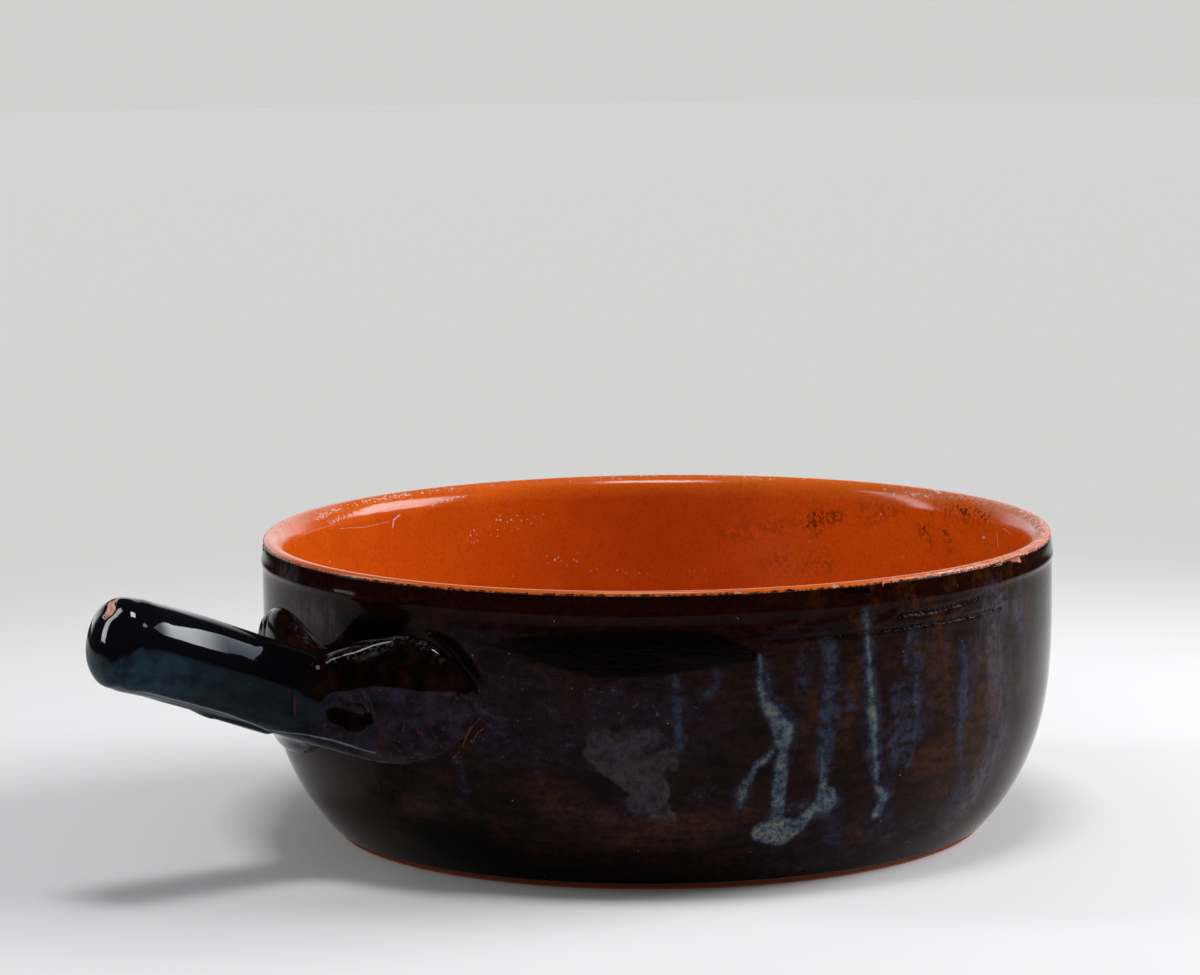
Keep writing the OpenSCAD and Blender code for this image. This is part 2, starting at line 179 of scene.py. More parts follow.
# Marks inside: (across, drop, half width)
STAINS = (
    ((52.0, 19.0, 2.2), (56.0, 21.5, 2.4)), ((55.0, 17.0, 1.8), (63.0, 17.0, 2.0)),
    ((99.0, 18.0, 2.4), (102.0, 20.0, 2.4)), ((109.0, 17.6, 2.0), (112.0, 20.0, 1.6)),
    ((115.0, 8.2, 1.6), (120.0, 9.6, 2.2), (127.0, 9.4, 2.4), (135.0, 9.3, 1.8)),
)
FAINT_STAINS = (
    ((74.0, 14.0, 3.0), (88.0, 13.0, 3.0)), ((104.0, 12.0, 4.0), (136.0, 8.0, 4.0)), ((22.0, 24.0, 3.0), (50.0, 20.0, 4.0)),
    ((40.0, 34.0, 3.0), (60.0, 33.0, 3.0)),
)
SCUFFS = (
    ((-104.0, 3.5, 0.9), (-97.0, 3.8, 1.3), (-85.0, 3.1, 1.0)), ((-98.6, 7.3, 0.7), (-90.0, 7.3, 0.7)),
    ((-73.0, 1.5, 0.6), (-66.0, 3.9, 0.7)), ((-78.0, 10.3, 0.5), (-65.0, 7.6, 0.5)),
    ((-135.0, 6.0, 0.8), (-118.0, 4.4, 0.8)), ((-128.0, 9.5, 0.5), (-112.0, 8.2, 0.5)),
    ((-3.6, 0.8, 0.7), (-1.6, 0.8, 0.5)), ((21.3, 1.1, 0.7), (25.5, 1.2, 0.5)), ((28.7, 3.1, 0.4), (40.0, 2.8, 0.3)),
    ((118.0, 3.0, 0.5), (124.0, 2.6, 0.5)), ((90.0, 5.6, 1.0), (100.0, 5.4, 1.2)),
)
# Where crumbs and dust lie thickest
CRUMBS = (
    ((-37.0, 30.8, 1.0), (-24.0, 33.5, 1.4)), ((-21.0, 37.2, 0.6), (-7.0, 37.8, 0.5), (30.0, 38.6, 0.5)),
    ((-82.0, 24.0, 1.2), (-80.0, 28.0, 1.0)), ((70.0, 40.5, 0.6), (84.0, 40.0, 0.8)), ((-60.0, 22.0, 3.0), (-40.0, 16.0, 3.0)),
    ((-20.0, 0.8, 0.5), (60.0, 0.8, 0.5)), ((-130.0, 5.0, 3.0), (-70.0, 4.0, 3.0)),
)
SCRATCHES = (
    ((-94.7, 15.7, 0.22), (-94.3, 13.3, 0.30), (-91.5, 11.9, 0.25)), ((103.4, 2.9, 0.55), (98.2, 0.1, 0.55)),
    ((140.7, 13.9, 0.14), (142.2, 18.4, 0.14)), ((146.4, 11.7, 0.12), (153.2, 12.4, 0.08)),
    ((-122.0, 12.4, 0.06), (-108.0, 13.9, 0.05), (-96.0, 13.6, 0.03)),
    ((131.0, 16.6, 0.45), (132.4, 16.4, 0.3)),
)
# Pinkish places along the lip: partly worn glaze, partly a painted reflection of the pale backdrop.
PINK_WEAR_AND_SHEEN = (
    ((126.0, 4.0, 2.5), (150.0, 5.0, 4.0), (185.0, 4.4, 5.0)), ((84.0, 5.0, 2.0), (108.0, 4.0, 2.5)),
    ((-190.0, 4.0, 3.0), (-150.0, 4.0, 2.0), (-118.0, 3.0, 1.0)),
)

# Marks on the handle: (x, y, z, half width), in mm of the row's frame
WING_CREST = ((-125.1, -13.0, 65.1, 1.0), (-122.9, -22.7, 67.9, 1.4), (-119.1, -33.4, 71.9, 1.8),
              (-113.4, -38.7, 73.7, 1.8), (-112.5, -45.2, 71.6, 1.4), (-111.6, -48.9, 69.2, 1.0))
FAR_CREST = ((-119.4, 15.6, 70.8, 1.2), (-120.2, 10.9, 68.9, 1.4), (-120.3, 5.8, 66.6, 1.2))
END_CHIP = ((-188.3, 1.4, 86.0, 1.6), (-190.0, -0.8, 84.4, 2.0), (-191.2, -0.4, 82.8, 0.9))
NECK_SEAM = ((-138.0, -12.6, 56.2, 0.25), (-137.4, -12.2, 53.4, 0.45), (-137.2, -11.3, 50.2, 0.25))
THUMB_HOLLOW = ((-127.2, -18.8, 52.0, 2.7), (-124.0, -25.0, 51.0, 3.0))
UNDER_LINE = ((-191.4, -4.7, 63.7, 0.05), (-183.4, -6.4, 61.6, 0.22), (-175.5, -6.0, 58.9, 0.28), (-165.5, -6.1, 55.4, 0.28),
              (-156.4, -6.2, 52.0, 0.28), (-148.0, -5.1, 48.2, 0.28), (-141.0, -3.9, 44.8, 0.25), (-135.8, -7.0, 44.0, 0.2),
              (-129.4, -13.7, 42.8, 0.22), (-125.8, -20.3, 41.6, 0.22), (-121.9, -30.2, 40.1, 0.1))
# How the handle's coat is pushed out: (amount, softness, line)
HANDLE_PUSHES = (
    (0.95, 4.2, ((-125.4, -20.9, 57.6, 0.2), (-121.8, -31.4, 60.0, 0.3), (-115.8, -46.8, 59.8, 0.3),
                 (-110.9, -54.4, 60.7, 0.3), (-106.0, -58.0, 60.6, 0.2))),
    (-2.1, 2.0, THUMB_HOLLOW),
    (-1.3, 0.9, ((-124.0, -26.6, 57.0, 0.3), (-123.4, -28.6, 54.3, 0.5), (-123.2, -29.8, 50.5, 0.6))),
    (0.9, 1.3, ((-125.2, -20.6, 53.8, 0.7), (-124.2, -24.0, 54.2, 0.9))),
    (-1.4, 3.6, ((-119.6, 34.6, 64.0, 1.0), (-119.4, 34.4, 71.0, 1.0))),
    (-1.3, 4.0, ((-116.5, 41.0, 63.0, 1.5), (-116.5, 41.0, 70.0, 1.5))),
    (0.5, 4.5, ((-146.0, -9.0, 71.6, 0.5), (-141.0, -8.4, 70.2, 0.5))),
    (-0.35, 7.0, ((-176.0, -9.0, 80.6, 0.3), (-168.2, -11.4, 75.1, 1.0), (-156.0, -12.0, 69.2, 0.3))),
    (0.4, 0.6, UNDER_LINE),
    (-0.6, 0.7, NECK_SEAM),
    (0.35, 0.7, ((-182.0, -0.6, 59.0, 0.4), (-172.0, -0.6, 55.7, 2.0), (-160.0, -0.6, 51.4, 2.6))),
    (0.9, 0.9, ((-164.0, -0.6, 53.0, 0.6), (-156.0, -0.5, 50.0, 2.2), (-150.0, -0.4, 47.7, 3.2), (-142.0, -0.4, 44.4, 3.2))),
    (0.5, 1.6, ((-112.5, -46.5, 70.6, 0.6), (-109.0, -52.5, 66.2, 0.8), (-106.0, -57.2, 61.6, 0.8))),
    (0.5, 1.2, WING_CREST), (0.6, 1.2, FAR_CREST),
)


# The camera

def place_camera():
    look = AHEAD * math.cos(VIEW_PITCH) - UP * math.sin(VIEW_PITCH)
    over = SIDEWAYS.cross(look)
    side = SIDEWAYS * math.cos(VIEW_ROLL) + over * math.sin(VIEW_ROLL)
    top = over * math.cos(VIEW_ROLL) - SIDEWAYS * math.sin(VIEW_ROLL)
    lens = bpy.data.cameras.new("camera")
    lens.sensor_fit = "HORIZONTAL"
    lens.sensor_width = 36
    lens.lens = 135
    camera = bpy.data.objects.new("camera", lens)
    bpy.context.scene.collection.objects.link(camera)
    camera.matrix_world = Matrix((side, top, -look)).transposed().to_4x4()
    camera.location = UP * CAMERA_UP - AHEAD * CAMERA_BACK - SIDEWAYS * CAMERA_LEFT
    bpy.context.scene.camera = camera


# Shapes

def wall_r(z):
    """Radius of the clay wall's outer face at height z."""
    if z < BELLY_H:
        return BELLY_R - FOOT_INSET * (1 - max(z, 0) / BELLY_H) ** WALL_CURVE
    return BELLY_R - BELLY_BULGE * ((z - BELLY_H) / (LIP_H - BELLY_H)) ** 2


def outer_line(steps, t):
    """Outer wall from the bare foot band to the lip's edge, moved out by t."""
    low = round(0.55 * steps)
    heights = [BARE_H + (70 - BARE_H) * (i / low) ** 1.1 for i in range(low)]
    heights += [70 + (LIP_H - 70) * i / (steps - low) for i in range(steps - low + 1)]
    return [(wall_r(z) + t, z) for z in heights]


def inner_line(t, coarse=1):
    """Inner face from the lip's outer edge over the crest and down to the floor's centre, moved in by t."""
    line = []
    for i in range(8 // coarse + 1):
        a = math.pi / 2 * i / (8 // coarse)
        line.append((LIP_X + (LIP_R + t) * math.cos(a), LIP_H + (LIP_R + t) * math.sin(a)))
    for i in range(1, 22 // coarse + 1):
        a = math.pi / 2 * (1 + i / (22 // coarse))
        line.append((LIP_X + (WALL_T - LIP_R + t) * math.cos(a), THROAT_H + (LIP_DROP + t) * math.sin(a)))
    throat_steps = 9 // coarse
    for i in range(1, throat_steps):
        line.append((INNER_R - t, THROAT_H + (BELLY_H - THROAT_H) * i / throat_steps))
    for i in range(48 // coarse + 1):
        a = math.pi / 2 * i / (48 // coarse)
        line.append((INNER_R - CORNER_W + (CORNER_W - t) * max(math.cos(a), 0) ** (2 / CORNER_SHAPE),
                     BELLY_H - (BELLY_H - FLOOR_T - t) * math.sin(a) ** (2 / CORNER_SHAPE)))
    floor_r = line[-1][0]
    for i in range(1, 16 // coarse + 1):
        line.append((floor_r * (1 - i / (16 // coarse)), FLOOR_T + t))
    return line


def turned(name, outline):
    """A closed outline of distances and heights in mm, turned once round the pot's axis."""
    form = bmesh.new()
    ring = [form.verts.new((r * MM, 0, z * MM)) for r, z in outline]
    edges = [form.edges.new(pair) for pair in zip(ring, ring[1:] + ring[:1])]
    sector = math.tau / 2 ** DOUBLINGS
    bmesh.ops.spin(form, geom=ring + edges, cent=(0, 0, 0), axis=(0, 0, 1), angle=sector,
                   steps=SECTOR_STEPS, use_merge=False)
    for i in range(DOUBLINGS):
        whole = form.verts[:] + form.edges[:] + form.faces[:]
        twin = bmesh.ops.duplicate(form, geom=whole)["geom"]
        bmesh.ops.rotate(form, cent=(0, 0, 0), matrix=Matrix.Rotation(sector * 2 ** i, 3, "Z"),
                         verts=[v for v in twin if isinstance(v, bmesh.types.BMVert)])
    bmesh.ops.remove_doubles(form, verts=form.verts, dist=0.002 * MM)
    bmesh.ops.recalc_face_normals(form, faces=form.faces)
    return finished(name, form)


def finished(name, form):
    """Makes a smooth-shaded object of a bmesh, at the origin."""
    mesh = bpy.data.meshes.new(name)
    form.to_mesh(mesh)
    form.free()
    for face in mesh.polygons:
        face.use_smooth = True
    piece = bpy.data.objects.new(name, mesh)
    bpy.context.scene.collection.objects.link(piece)
    return piece


def points_of(piece):
    co = np.zeros(len(piece.data.vertices) * 3, np.float32)
    piece.data.vertices.foreach_get("co", co)
    return co.reshape(-1, 3).astype(float)


def set_points(piece, co):
    piece.data.vertices.foreach_set("co", co.astype(np.float32).ravel())
    piece.data.update()


def rough_noise(co, scale, seed):
    """Even noise from -1 to 1 over points, scale in waves per metre."""
    shift = Vector((seed * 7.3, seed * 3.1, seed * 5.7))
    return np.array([noise.noise(Vector(p) * scale + shift) for p in co])


def eased(value, low, high):
    """0 at low, 1 at high, and smooth between."""
    share = np.clip((value - low) / (high - low), 0, 1)
    return share * share * (3 - 2 * share)


def unrolled(co, facing, radius):
    """(across, height) in mm of points in metres."""
    turn = (np.arctan2(co[:, 1], co[:, 0]) - facing + math.pi) % math.tau - math.pi
    return np.stack((turn * radius, co[:, 2] / MM), 1)


def near_runs(places, runs, fuzz):
    """1 on the runs' lines and 0 away from them. The last number of each point is its half width."""
    most = np.zeros(len(places))
    for line in runs:
        for a, b in zip(line, line[1:]):
            start, span = np.array(a[:-1]), np.array(b[:-1]) - np.array(a[:-1])
            share = np.clip((places - start) @ span / (span @ span), 0, 1)
            away = np.linalg.norm(places - start - share[:, None] * span, axis=1)
            width = a[-1] + (b[-1] - a[-1]) * share
            most = np.maximum(most, 1 - eased(away - width, -fuzz, fuzz))
    return most


def push_out(piece, amount, inward=None):
    """Moves points along their normals by amount, in mm."""
    normals = np.zeros(len(piece.data.vertices) * 3, np.float32)
    piece.data.vertex_normals.foreach_get("vector", normals)
    set_points(piece, points_of(piece) + normals.reshape(-1, 3) * amount[:, None] * MM)


def paint(piece, name, *masks):
    """Keeps up to three soft masks on a piece's points, for its finish to read."""
    values = np.zeros((len(piece.data.vertices), 4), np.float32)
    for i, mask in enumerate(masks):
        values[:, i] = mask
    piece.data.attributes.new(name, "FLOAT_COLOR", "POINT").data.foreach_set("color", values.ravel())


# The outer wall's rings left by throwing: height, how far each stands proud, and its half height
THROWN_RINGS = ((82.6, 0.16, 1.5), (61.0, 0.03, 4.0), (50.0, -0.03, 4.0), (40.0, 0.03, 5.0), (27.0, -0.03, 4.0))


def make_outer_coat():
    outside = outer_line(118, GLAZE_T)
    inside = outer_line(12, HIDDEN_T)
    bead = [(wall_r(BARE_H) + 0.28, BARE_H - 0.14)]
    coat = turned("outer_coat", outside + inside[::-1] + bead)
    co = points_of(coat)
    places = unrolled(co, FACING, OUTER_R)
    height = places[:, 1]
    wander = 0.45 * rough_noise(co, 22, 1) + 0.15 * rough_noise(co, 90, 2)
    rise = sum(proud * np.exp(-((height + wander - at) / half) ** 2) for at, proud, half in THROWN_RINGS)
    rise += 0.05 * rough_noise(co * (1, 1, 3), 40, 3) + 0.10 * rough_noise(co, 16, 4)
    rise += 0.14 * near_runs(places, CREAM_RUNS, 0.7) + 0.06 * near_runs(places, BLUE_RUNS, 0.9)
    rise += 0.40 * eased(height + wander, 81.8, 83.4) * np.clip((LIP_H - height) / 5.3, 0, 1)
    lumps = near_runs(places, LUMPS, 2.0)
    rise += lumps * (0.22 * rough_noise(co * (1, 1, 2), 190, 9) + 0.12 * rough_noise(co, 420, 10))
    rise -= 0.22 * near_runs(places, RAGGED_BAND, 0.5)
    rise += 1.1 * near_runs(places, BEAK, 0.6)
    rise *= eased(height, BARE_H, BARE_H + 2) * (1 - eased(height, LIP_H - 1.2, LIP_H))
    rise -= 0.55 * near_runs(places, CHIPS, 0.5)
    wall = np.array([wall_r(h) for h in height])
    skin = eased(np.hypot(co[:, 0], co[:, 1]) / MM - wall, 0.2, 0.35)
    push_out(coat, rise * skin)
    unstirred = places
    places = places + np.stack((3.0 * rough_noise(co, 60, 5), 3.0 * rough_noise(co, 60, 6)), 1)
    paint(coat, "regions", near_runs(places, MAUVE_HAZE, 5.0), near_runs(0.7 * unstirred + 0.3 * places, DARK_GLAZE_AND_PAINTED_SHADE, 2.4),
          near_runs(places, BROWN_CLAY, 5.0))
    # The third mask kept with the veils is painted shade.
    paint(coat, "veils", near_runs(0.6 * unstirred + 0.4 * places, VEILS, 1.8), lumps, near_runs(places, SHADE, 6.0))
    return coat


def make_inner_coat():
    over = inner_line(GLAZE_T)
    under = inner_line(HIDDEN_T, 4)
    coat = turned("inner_coat", over + under[::-1])
    co = points_of(coat)
    reach = np.hypot(co[:, 0], co[:, 1]) / MM
    outward = unrolled(co, FACING, OUTER_R)
    near_lip = (reach > 114) & (outward[:, 1] > 80)
    push_out(coat, -0.5 * near_runs(outward, CHIPS, 0.5) * near_lip * (reach > LIP_X))
    places = unrolled(co, FAR_SIDE, -INSIDE_R)
    places[:, 1] = (LIP_X - reach) + (90 - places[:, 1])
    stir = np.stack((2.0 * rough_noise(co, 80, 7), 1.2 * rough_noise(co, 80, 8)), 1)
    stains = np.maximum(near_runs(places + stir, STAINS, 1.6), 0.45 * near_runs(places + stir, FAINT_STAINS, 4.0))
    paint(coat, "regions", stains, near_runs(places + 0.4 * stir, SCUFFS, 0.8), near_runs(places + stir, PINK_WEAR_AND_SHEEN, 3.0))
    paint(coat, "dust", near_runs(places, CRUMBS, 1.6))
    return coat


def make_handle_coat():
    """One skin over the grip and both wings, from the CAD solids, with softened edges and hand-made unevenness."""
    form = bmesh.new()
    for node in HANDLE_NODES:
        form.from_mesh(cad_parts[node].data)
    bmesh.ops.remove_doubles(form, verts=form.verts, dist=0.002 * MM)
    # The bed is pressed a little into the wall, so that the skin meets the wall without a rounded gap
    for v in form.verts:
        r = math.hypot(v.co.x, v.co.y)
        above = r / MM - wall_r(v.co.z / MM)
        if above < 0.6:
            v.co.x *= 1 - 1.2 * MM / r
            v.co.y *= 1 - 1.2 * MM / r
    rough = finished("handle_coat", form)
    grain = rough.modifiers.new("even grain", "REMESH")
    grain.mode = "VOXEL"
    grain.voxel_size = VOXEL
    grain.use_smooth_shade = True
    even = bpy.data.meshes.new_from_object(rough.evaluated_get(bpy.context.evaluated_depsgraph_get()))
    rough.modifiers.clear()
    rough.data = even
    smoothed(even, 26)
    for face in even.polygons:
        face.use_smooth = True
    shape_handle_coat(rough)
    return rough


def smoothed(mesh, times):
    form = bmesh.new()
    form.from_mesh(mesh)
    for _ in range(times):
        bmesh.ops.smooth_vert(form, verts=form.verts, factor=0.5, use_axis_x=True, use_axis_y=True, use_axis_z=True)
    bmesh.ops.recalc_face_normals(form, faces=form.faces)
    form.to_mesh(mesh)
    form.free()


def shape_handle_coat(coat):
    """Puts back what the smoothing took, then the thumb marks, folds and ledges of the hand-made handle."""
    co = points_of(coat)
    places = co / MM
    out = np.zeros(len(co) * 3, np.float32)
    coat.data.vertex_normals.foreach_get("vector", out)
    out = out.reshape(-1, 3)
    on_grip = 1 - eased(places[:, 0], -140, -125)
    rise = 0.35 + 0.15 * on_grip
    toward_end = out @ np.array((-0.94, 0, 0.34))
    rise += 0.7 * eased(toward_end, 0.15, 0.5) * (1 - eased(toward_end, 0.7, 0.95)) * (1 - eased(places[:, 0], -186, -178))
    rise += (1 - 0.75 * on_grip) * (0.16 * rough_noise(co, 55, 11) + 0.05 * rough_noise(co, 160, 12))
    for amount, softness, line in HANDLE_PUSHES:
        rise += amount * near_runs(places, (line,), softness)
    clear = eased(np.hypot(places[:, 0], places[:, 1]) - np.array([wall_r(z) for z in places[:, 2]]), -0.6, 0.4)
    push_out(coat, rise * clear)
    smoothed(coat.data, 5)
    rise = 0.05 * rough_noise(co, 300, 13) * near_runs(places, (WING_CREST, FAR_CREST), 1.5)
    rise += 0.12 * (rough_noise(co, 700, 14) - 2.6) * near_runs(places, (END_CHIP,), 0.35)
    push_out(coat, rise * clear)
    paint(coat, "regions", near_runs(places, (WING_CREST, FAR_CREST), 2.0), on_grip)


# Nodes

class Recipe:
    """Builds the nodes of one material or group."""

    def __init__(self, tree):
        self.tree = tree

    def feed(self, socket, value):
        if isinstance(value, bpy.types.NodeSocket):
            self.tree.links.new(value, socket)
        else:
            socket.default_value = value

    def node(self, kind, inputs=(), **options):
        step = self.tree.nodes.new("ShaderNode" + kind)
        for name, value in options.items():
            setattr(step, name, value)
        for name, value in dict(inputs).items():
            self.feed(step.inputs[name], value)
        return step

    def calc(self, operation, *values):
        return self.node("Math", enumerate(values), operation=operation).outputs[0]

    def blend(self, share, low, high):
        return self.node("Mix", {0: share, 6: low, 7: high}, data_type="RGBA").outputs[2]

    def spread(self, value, low, high, to_low=0.0, to_high=1.0):
        return self.node("MapRange", {0: value, 1: low, 2: high, 3: to_low, 4: to_high},
                         interpolation_type="SMOOTHSTEP", clamp=False).outputs[0]

    def noise(self, place, scale, detail=3.0, roughness=0.5, distortion=0.0):
        return self.node("TexNoise", {"Vector": place, "Scale": scale, "Detail": detail, "Roughness": roughness,
                                      "Distortion": distortion}).outputs[0]

    def place(self):
        return self.node("TexCoord").outputs["Object"]

    def stretched(self, place, scale):
        return self.node("Mapping", {"Vector": place, "Scale": scale}).outputs[0]

    def painted(self, name):
        """The three soft masks kept on the piece's points."""
        kept = self.node("Attribute", attribute_name=name).outputs["Color"]
        return self.node("SeparateColor", {0: kept}).outputs

    def group(self, tree, inputs=()):
        step = self.tree.nodes.new("ShaderNodeGroup")
        step.node_tree = tree
        for name, value in dict(inputs).items():
            self.feed(step.inputs[name], value)
        return step


def rgb(r, g, b):
    """A colour as a screen shows it, 0 to 255, as Blender's linear one."""
    parts = [c / 255 for c in (r, g, b)]
    return tuple(c / 12.92 if c <= 0.04045 else ((c + 0.055) / 1.055) ** 2.4 for c in parts) + (1.0,)


def new_material(name):
    material = bpy.data.materials.new(name)
    material.use_nodes = True
    return material, Recipe(material.node_tree), material.node_tree.nodes["Principled BSDF"]


def new_group(name, takes, gives):
    """An empty group with the named inputs (name, kind, start value) and outputs (name, kind)."""
    tree = bpy.data.node_groups.new(name, "ShaderNodeTree")
    for title, kind, value in takes:
        socket = tree.interface.new_socket(name=title, in_out="INPUT", socket_type="NodeSocket" + kind)
        if value is not None:
            socket.default_value = value
    for title, kind in gives:
        tree.interface.new_socket(name=title, in_out="OUTPUT", socket_type="NodeSocket" + kind)
    takes_node = tree.nodes.new("NodeGroupInput")
    gives_node = tree.nodes.new("NodeGroupOutput")
    return tree, Recipe(tree), takes_node.outputs, gives_node.inputs


def unrolled_group():
    """Places round the pot laid out flat, in mm: across from the side that Facing names, and height."""
    tree, r, take, give = new_group("unrolled wall", (("Place", "Vector", None), ("Facing", "Float", 0.0),
                                                      ("Radius", "Float", 120.0)), (("Flat", "Vector"),))
    back = r.calc("MULTIPLY", take["Facing"], -1.0)
    turned_place = r.node("VectorRotate", {"Vector": take["Place"], "Angle": back}, rotation_type="Z_AXIS")
    parts = r.node("SeparateXYZ", {0: turned_place.outputs[0]}).outputs
    across = r.calc("MULTIPLY", r.calc("ARCTAN2", parts["Y"], parts["X"]), take["Radius"])
    height = r.calc("DIVIDE", parts["Z"], MM)
    r.feed(give["Flat"], r.node("CombineXYZ", {0: across, 1: height}).outputs[0])
    return tree


def run_group(name, runs):
    """How far outside a set of runs a flat place is. Each is a line of points whose last number is the half width."""
    tree, r, take, give = new_group(name, (("Flat", "Vector", None),), (("Past", "Float"),))
    least = None
    for line in runs:
        for a, b in zip(line, line[1:]):
            start, end = Vector((a[:-1] + (0,))[:3]), Vector((b[:-1] + (0,))[:3])
            span = end - start
            reach = r.node("VectorMath", {0: take["Flat"], 1: start}, operation="SUBTRACT").outputs[0]
            along = r.node("VectorMath", {0: reach, 1: span}, operation="DOT_PRODUCT").outputs["Value"]
            share = r.calc("MAXIMUM", r.calc("MINIMUM", r.calc("DIVIDE", along, span.dot(span)), 1.0), 0.0)
            nearest = r.node("VectorMath", {0: span, "Scale": share}, operation="SCALE").outputs[0]
            away = r.node("VectorMath", {0: reach, 1: nearest}, operation="DISTANCE").outputs["Value"]
            past = r.calc("SUBTRACT", away, r.calc("MULTIPLY_ADD", share, b[-1] - a[-1], a[-1]))
            least = past if least is None else r.calc("MINIMUM", least, past)
    r.feed(give["Past"], least)
    return tree


def speck_group():
    """Scattered small round specks. Share is how many of the cells hold one, Size its radius as a share of a cell."""
    tree, r, take, give = new_group("scattered specks", (("Place", "Vector", None), ("Scale", "Float", 300.0),
                                                         ("Share", "Float", 0.1), ("Size", "Float", 0.2)),
                                    (("Mask", "Float"),))
    cells = r.node("TexVoronoi", {"Vector": take["Place"], "Scale": take["Scale"]})
    pick = r.node("SeparateColor", {0: cells.outputs["Color"]}).outputs
    chosen = r.calc("LESS_THAN", pick[0], take["Share"])
    size = r.calc("MULTIPLY", take["Size"], r.calc("ADD", 0.5, pick[1]))
    spot = r.spread(cells.outputs["Distance"], size, r.calc("MULTIPLY", size, 0.6))
    r.feed(give["Mask"], r.calc("MULTIPLY", spot, chosen))
    return tree


def inside_group():
    """Places inside the pot laid out flat, in mm: across from the far side, and drop down the face from the crest."""
    tree, r, take, give = new_group("unrolled inside", (("Place", "Vector", None),),
                                    (("Flat", "Vector"), ("Reach", "Float")))
    turned_place = r.node("VectorRotate", {"Vector": take["Place"], "Angle": -FAR_SIDE}, rotation_type="Z_AXIS")
    parts = r.node("SeparateXYZ", {0: turned_place.outputs[0]}).outputs
    across = r.calc("MULTIPLY", r.calc("ARCTAN2", parts["Y"], parts["X"]), -INSIDE_R)
    reach = r.calc("SQRT", r.calc("ADD", r.calc("MULTIPLY", parts["X"], parts["X"]),
                                  r.calc("MULTIPLY", parts["Y"], parts["Y"])))
    used = r.calc("DIVIDE", r.calc("ADD", reach, parts["Z"]), MM)
    r.feed(give["Reach"], r.calc("DIVIDE", reach, MM))
    r.feed(give["Flat"], r.node("CombineXYZ", {0: across, 1: r.calc("SUBTRACT", LIP_X + 90, used)}).outputs[0])
    return tree


UNROLLED = unrolled_group()
INSIDE = inside_group()
SPECKS = speck_group()
CREAM = run_group("cream runs", CREAM_RUNS)
BLUE = run_group("blue runs", BLUE_RUNS)
PATCH = run_group("grey patch", GREY_PATCH)
PITS = run_group("dark pits", DARK_PITS)
TORN = run_group("ragged band", RAGGED_BAND)
CHIP_SPOTS = run_group("chip spots", CHIPS)
CRACK_LINES = run_group("crack lines", CRACKS)
SCRATCH_LINES = run_group("scratches", SCRATCHES)
SEAM = run_group("neck seam", (NECK_SEAM,))
END_SPOT = run_group("chip at the end", (END_CHIP,))
LOWER_EDGE = run_group("lower edge of the handle", (UNDER_LINE,))


def marks(r, flat, runs, fuzz):
    """1 on a group of runs and 0 away from them."""
    return r.spread(r.group(runs, {"Flat": flat}).outputs[0], fuzz, -fuzz)


def wandering(r, flat, place, scale, amount):
    """Flat places pushed about by noise, so that marks have ragged sides."""
    stir = r.node("TexNoise", {"Vector": place, "Scale": scale, "Detail": 3.0}).outputs["Color"]
    stir = r.node("VectorMath", {0: stir, 1: (0.5, 0.5, 0.5)}, operation="SUBTRACT").outputs[0]
    stir = r.node("VectorMath", {0: stir, "Scale": amount}, operation="SCALE").outputs[0]
    stir = r.node("VectorMath", {0: stir, 1: (1, 1, 0)}, operation="MULTIPLY").outputs[0]
    return r.node("VectorMath", {0: flat, 1: stir}, operation="ADD").outputs[0]


def bumps(r, shader, height, distance, strength=1.0):
    bump = r.node("Bump", {"Height": height, "Distance": distance, "Strength": strength})
    r.feed(shader.inputs["Normal"], bump.outputs[0])


def chip_group():
    """Where the glaze has come off the lip and bare clay shows."""
    tree, r, take, give = new_group("chipped lip", (("Place", "Vector", None),), (("Mask", "Float"),))
    place = take["Place"]
    flat = r.group(UNROLLED, {"Place": place, "Facing": FACING, "Radius": OUTER_R}).outputs[0]
    ragged = wandering(r, flat, place, 330.0, 1.6)
    chips = marks(r, ragged, CHIP_SPOTS, 0.14)
    parts = r.node("SeparateXYZ", {0: flat}).outputs
    across, height = parts["X"], parts["Y"]
    # Small flakes along the lip's outer edge, most of them on the right
    worn = r.calc("MULTIPLY", r.spread(across, 30.0, 100.0, 0.0, 1.0), r.spread(across, 330.0, 236.0))
    worn = r.calc("MAXIMUM", worn, r.calc("MULTIPLY", r.spread(across, -140.0, -170.0), 0.45))
    worn = r.calc("ADD", worn, 0.12)
    edge = r.calc("MULTIPLY", r.spread(height, 88.0, 88.9), r.spread(height, 90.6, 89.7, 0.55, 1.0))
    flakes = r.noise(place, 620.0, 3.0, 0.6)
    need = r.calc("MULTIPLY_ADD", r.calc("MULTIPLY", worn, edge), -0.245, 0.76)
    flakes = r.spread(r.calc("SUBTRACT", flakes, need), -0.015, 0.02)
    r.feed(give["Mask"], r.calc("MAXIMUM", chips, flakes))
    return tree


def crack_group():
    """The cracked edge of glaze beside the near wing's tip, where orange clay shows."""
    tree, r, take, give = new_group("cracked edge", (("Place", "Vector", None),), (("Mask", "Float"),))
    flat = r.group(UNROLLED, {"Place": take["Place"], "Facing": FACING, "Radius": OUTER_R}).outputs[0]
    mask = marks(r, wandering(r, flat, take["Place"], 420.0, 0.9), CRACK_LINES, 0.16)
    broken = r.spread(r.noise(take["Place"], 900.0, 2.0), 0.38, 0.55)
    r.feed(give["Mask"], r.calc("MULTIPLY", mask, broken))
    return tree


CHIPPED = chip_group()
CRACKED = crack_group()
RAW_CLAY = rgb(214, 150, 122)


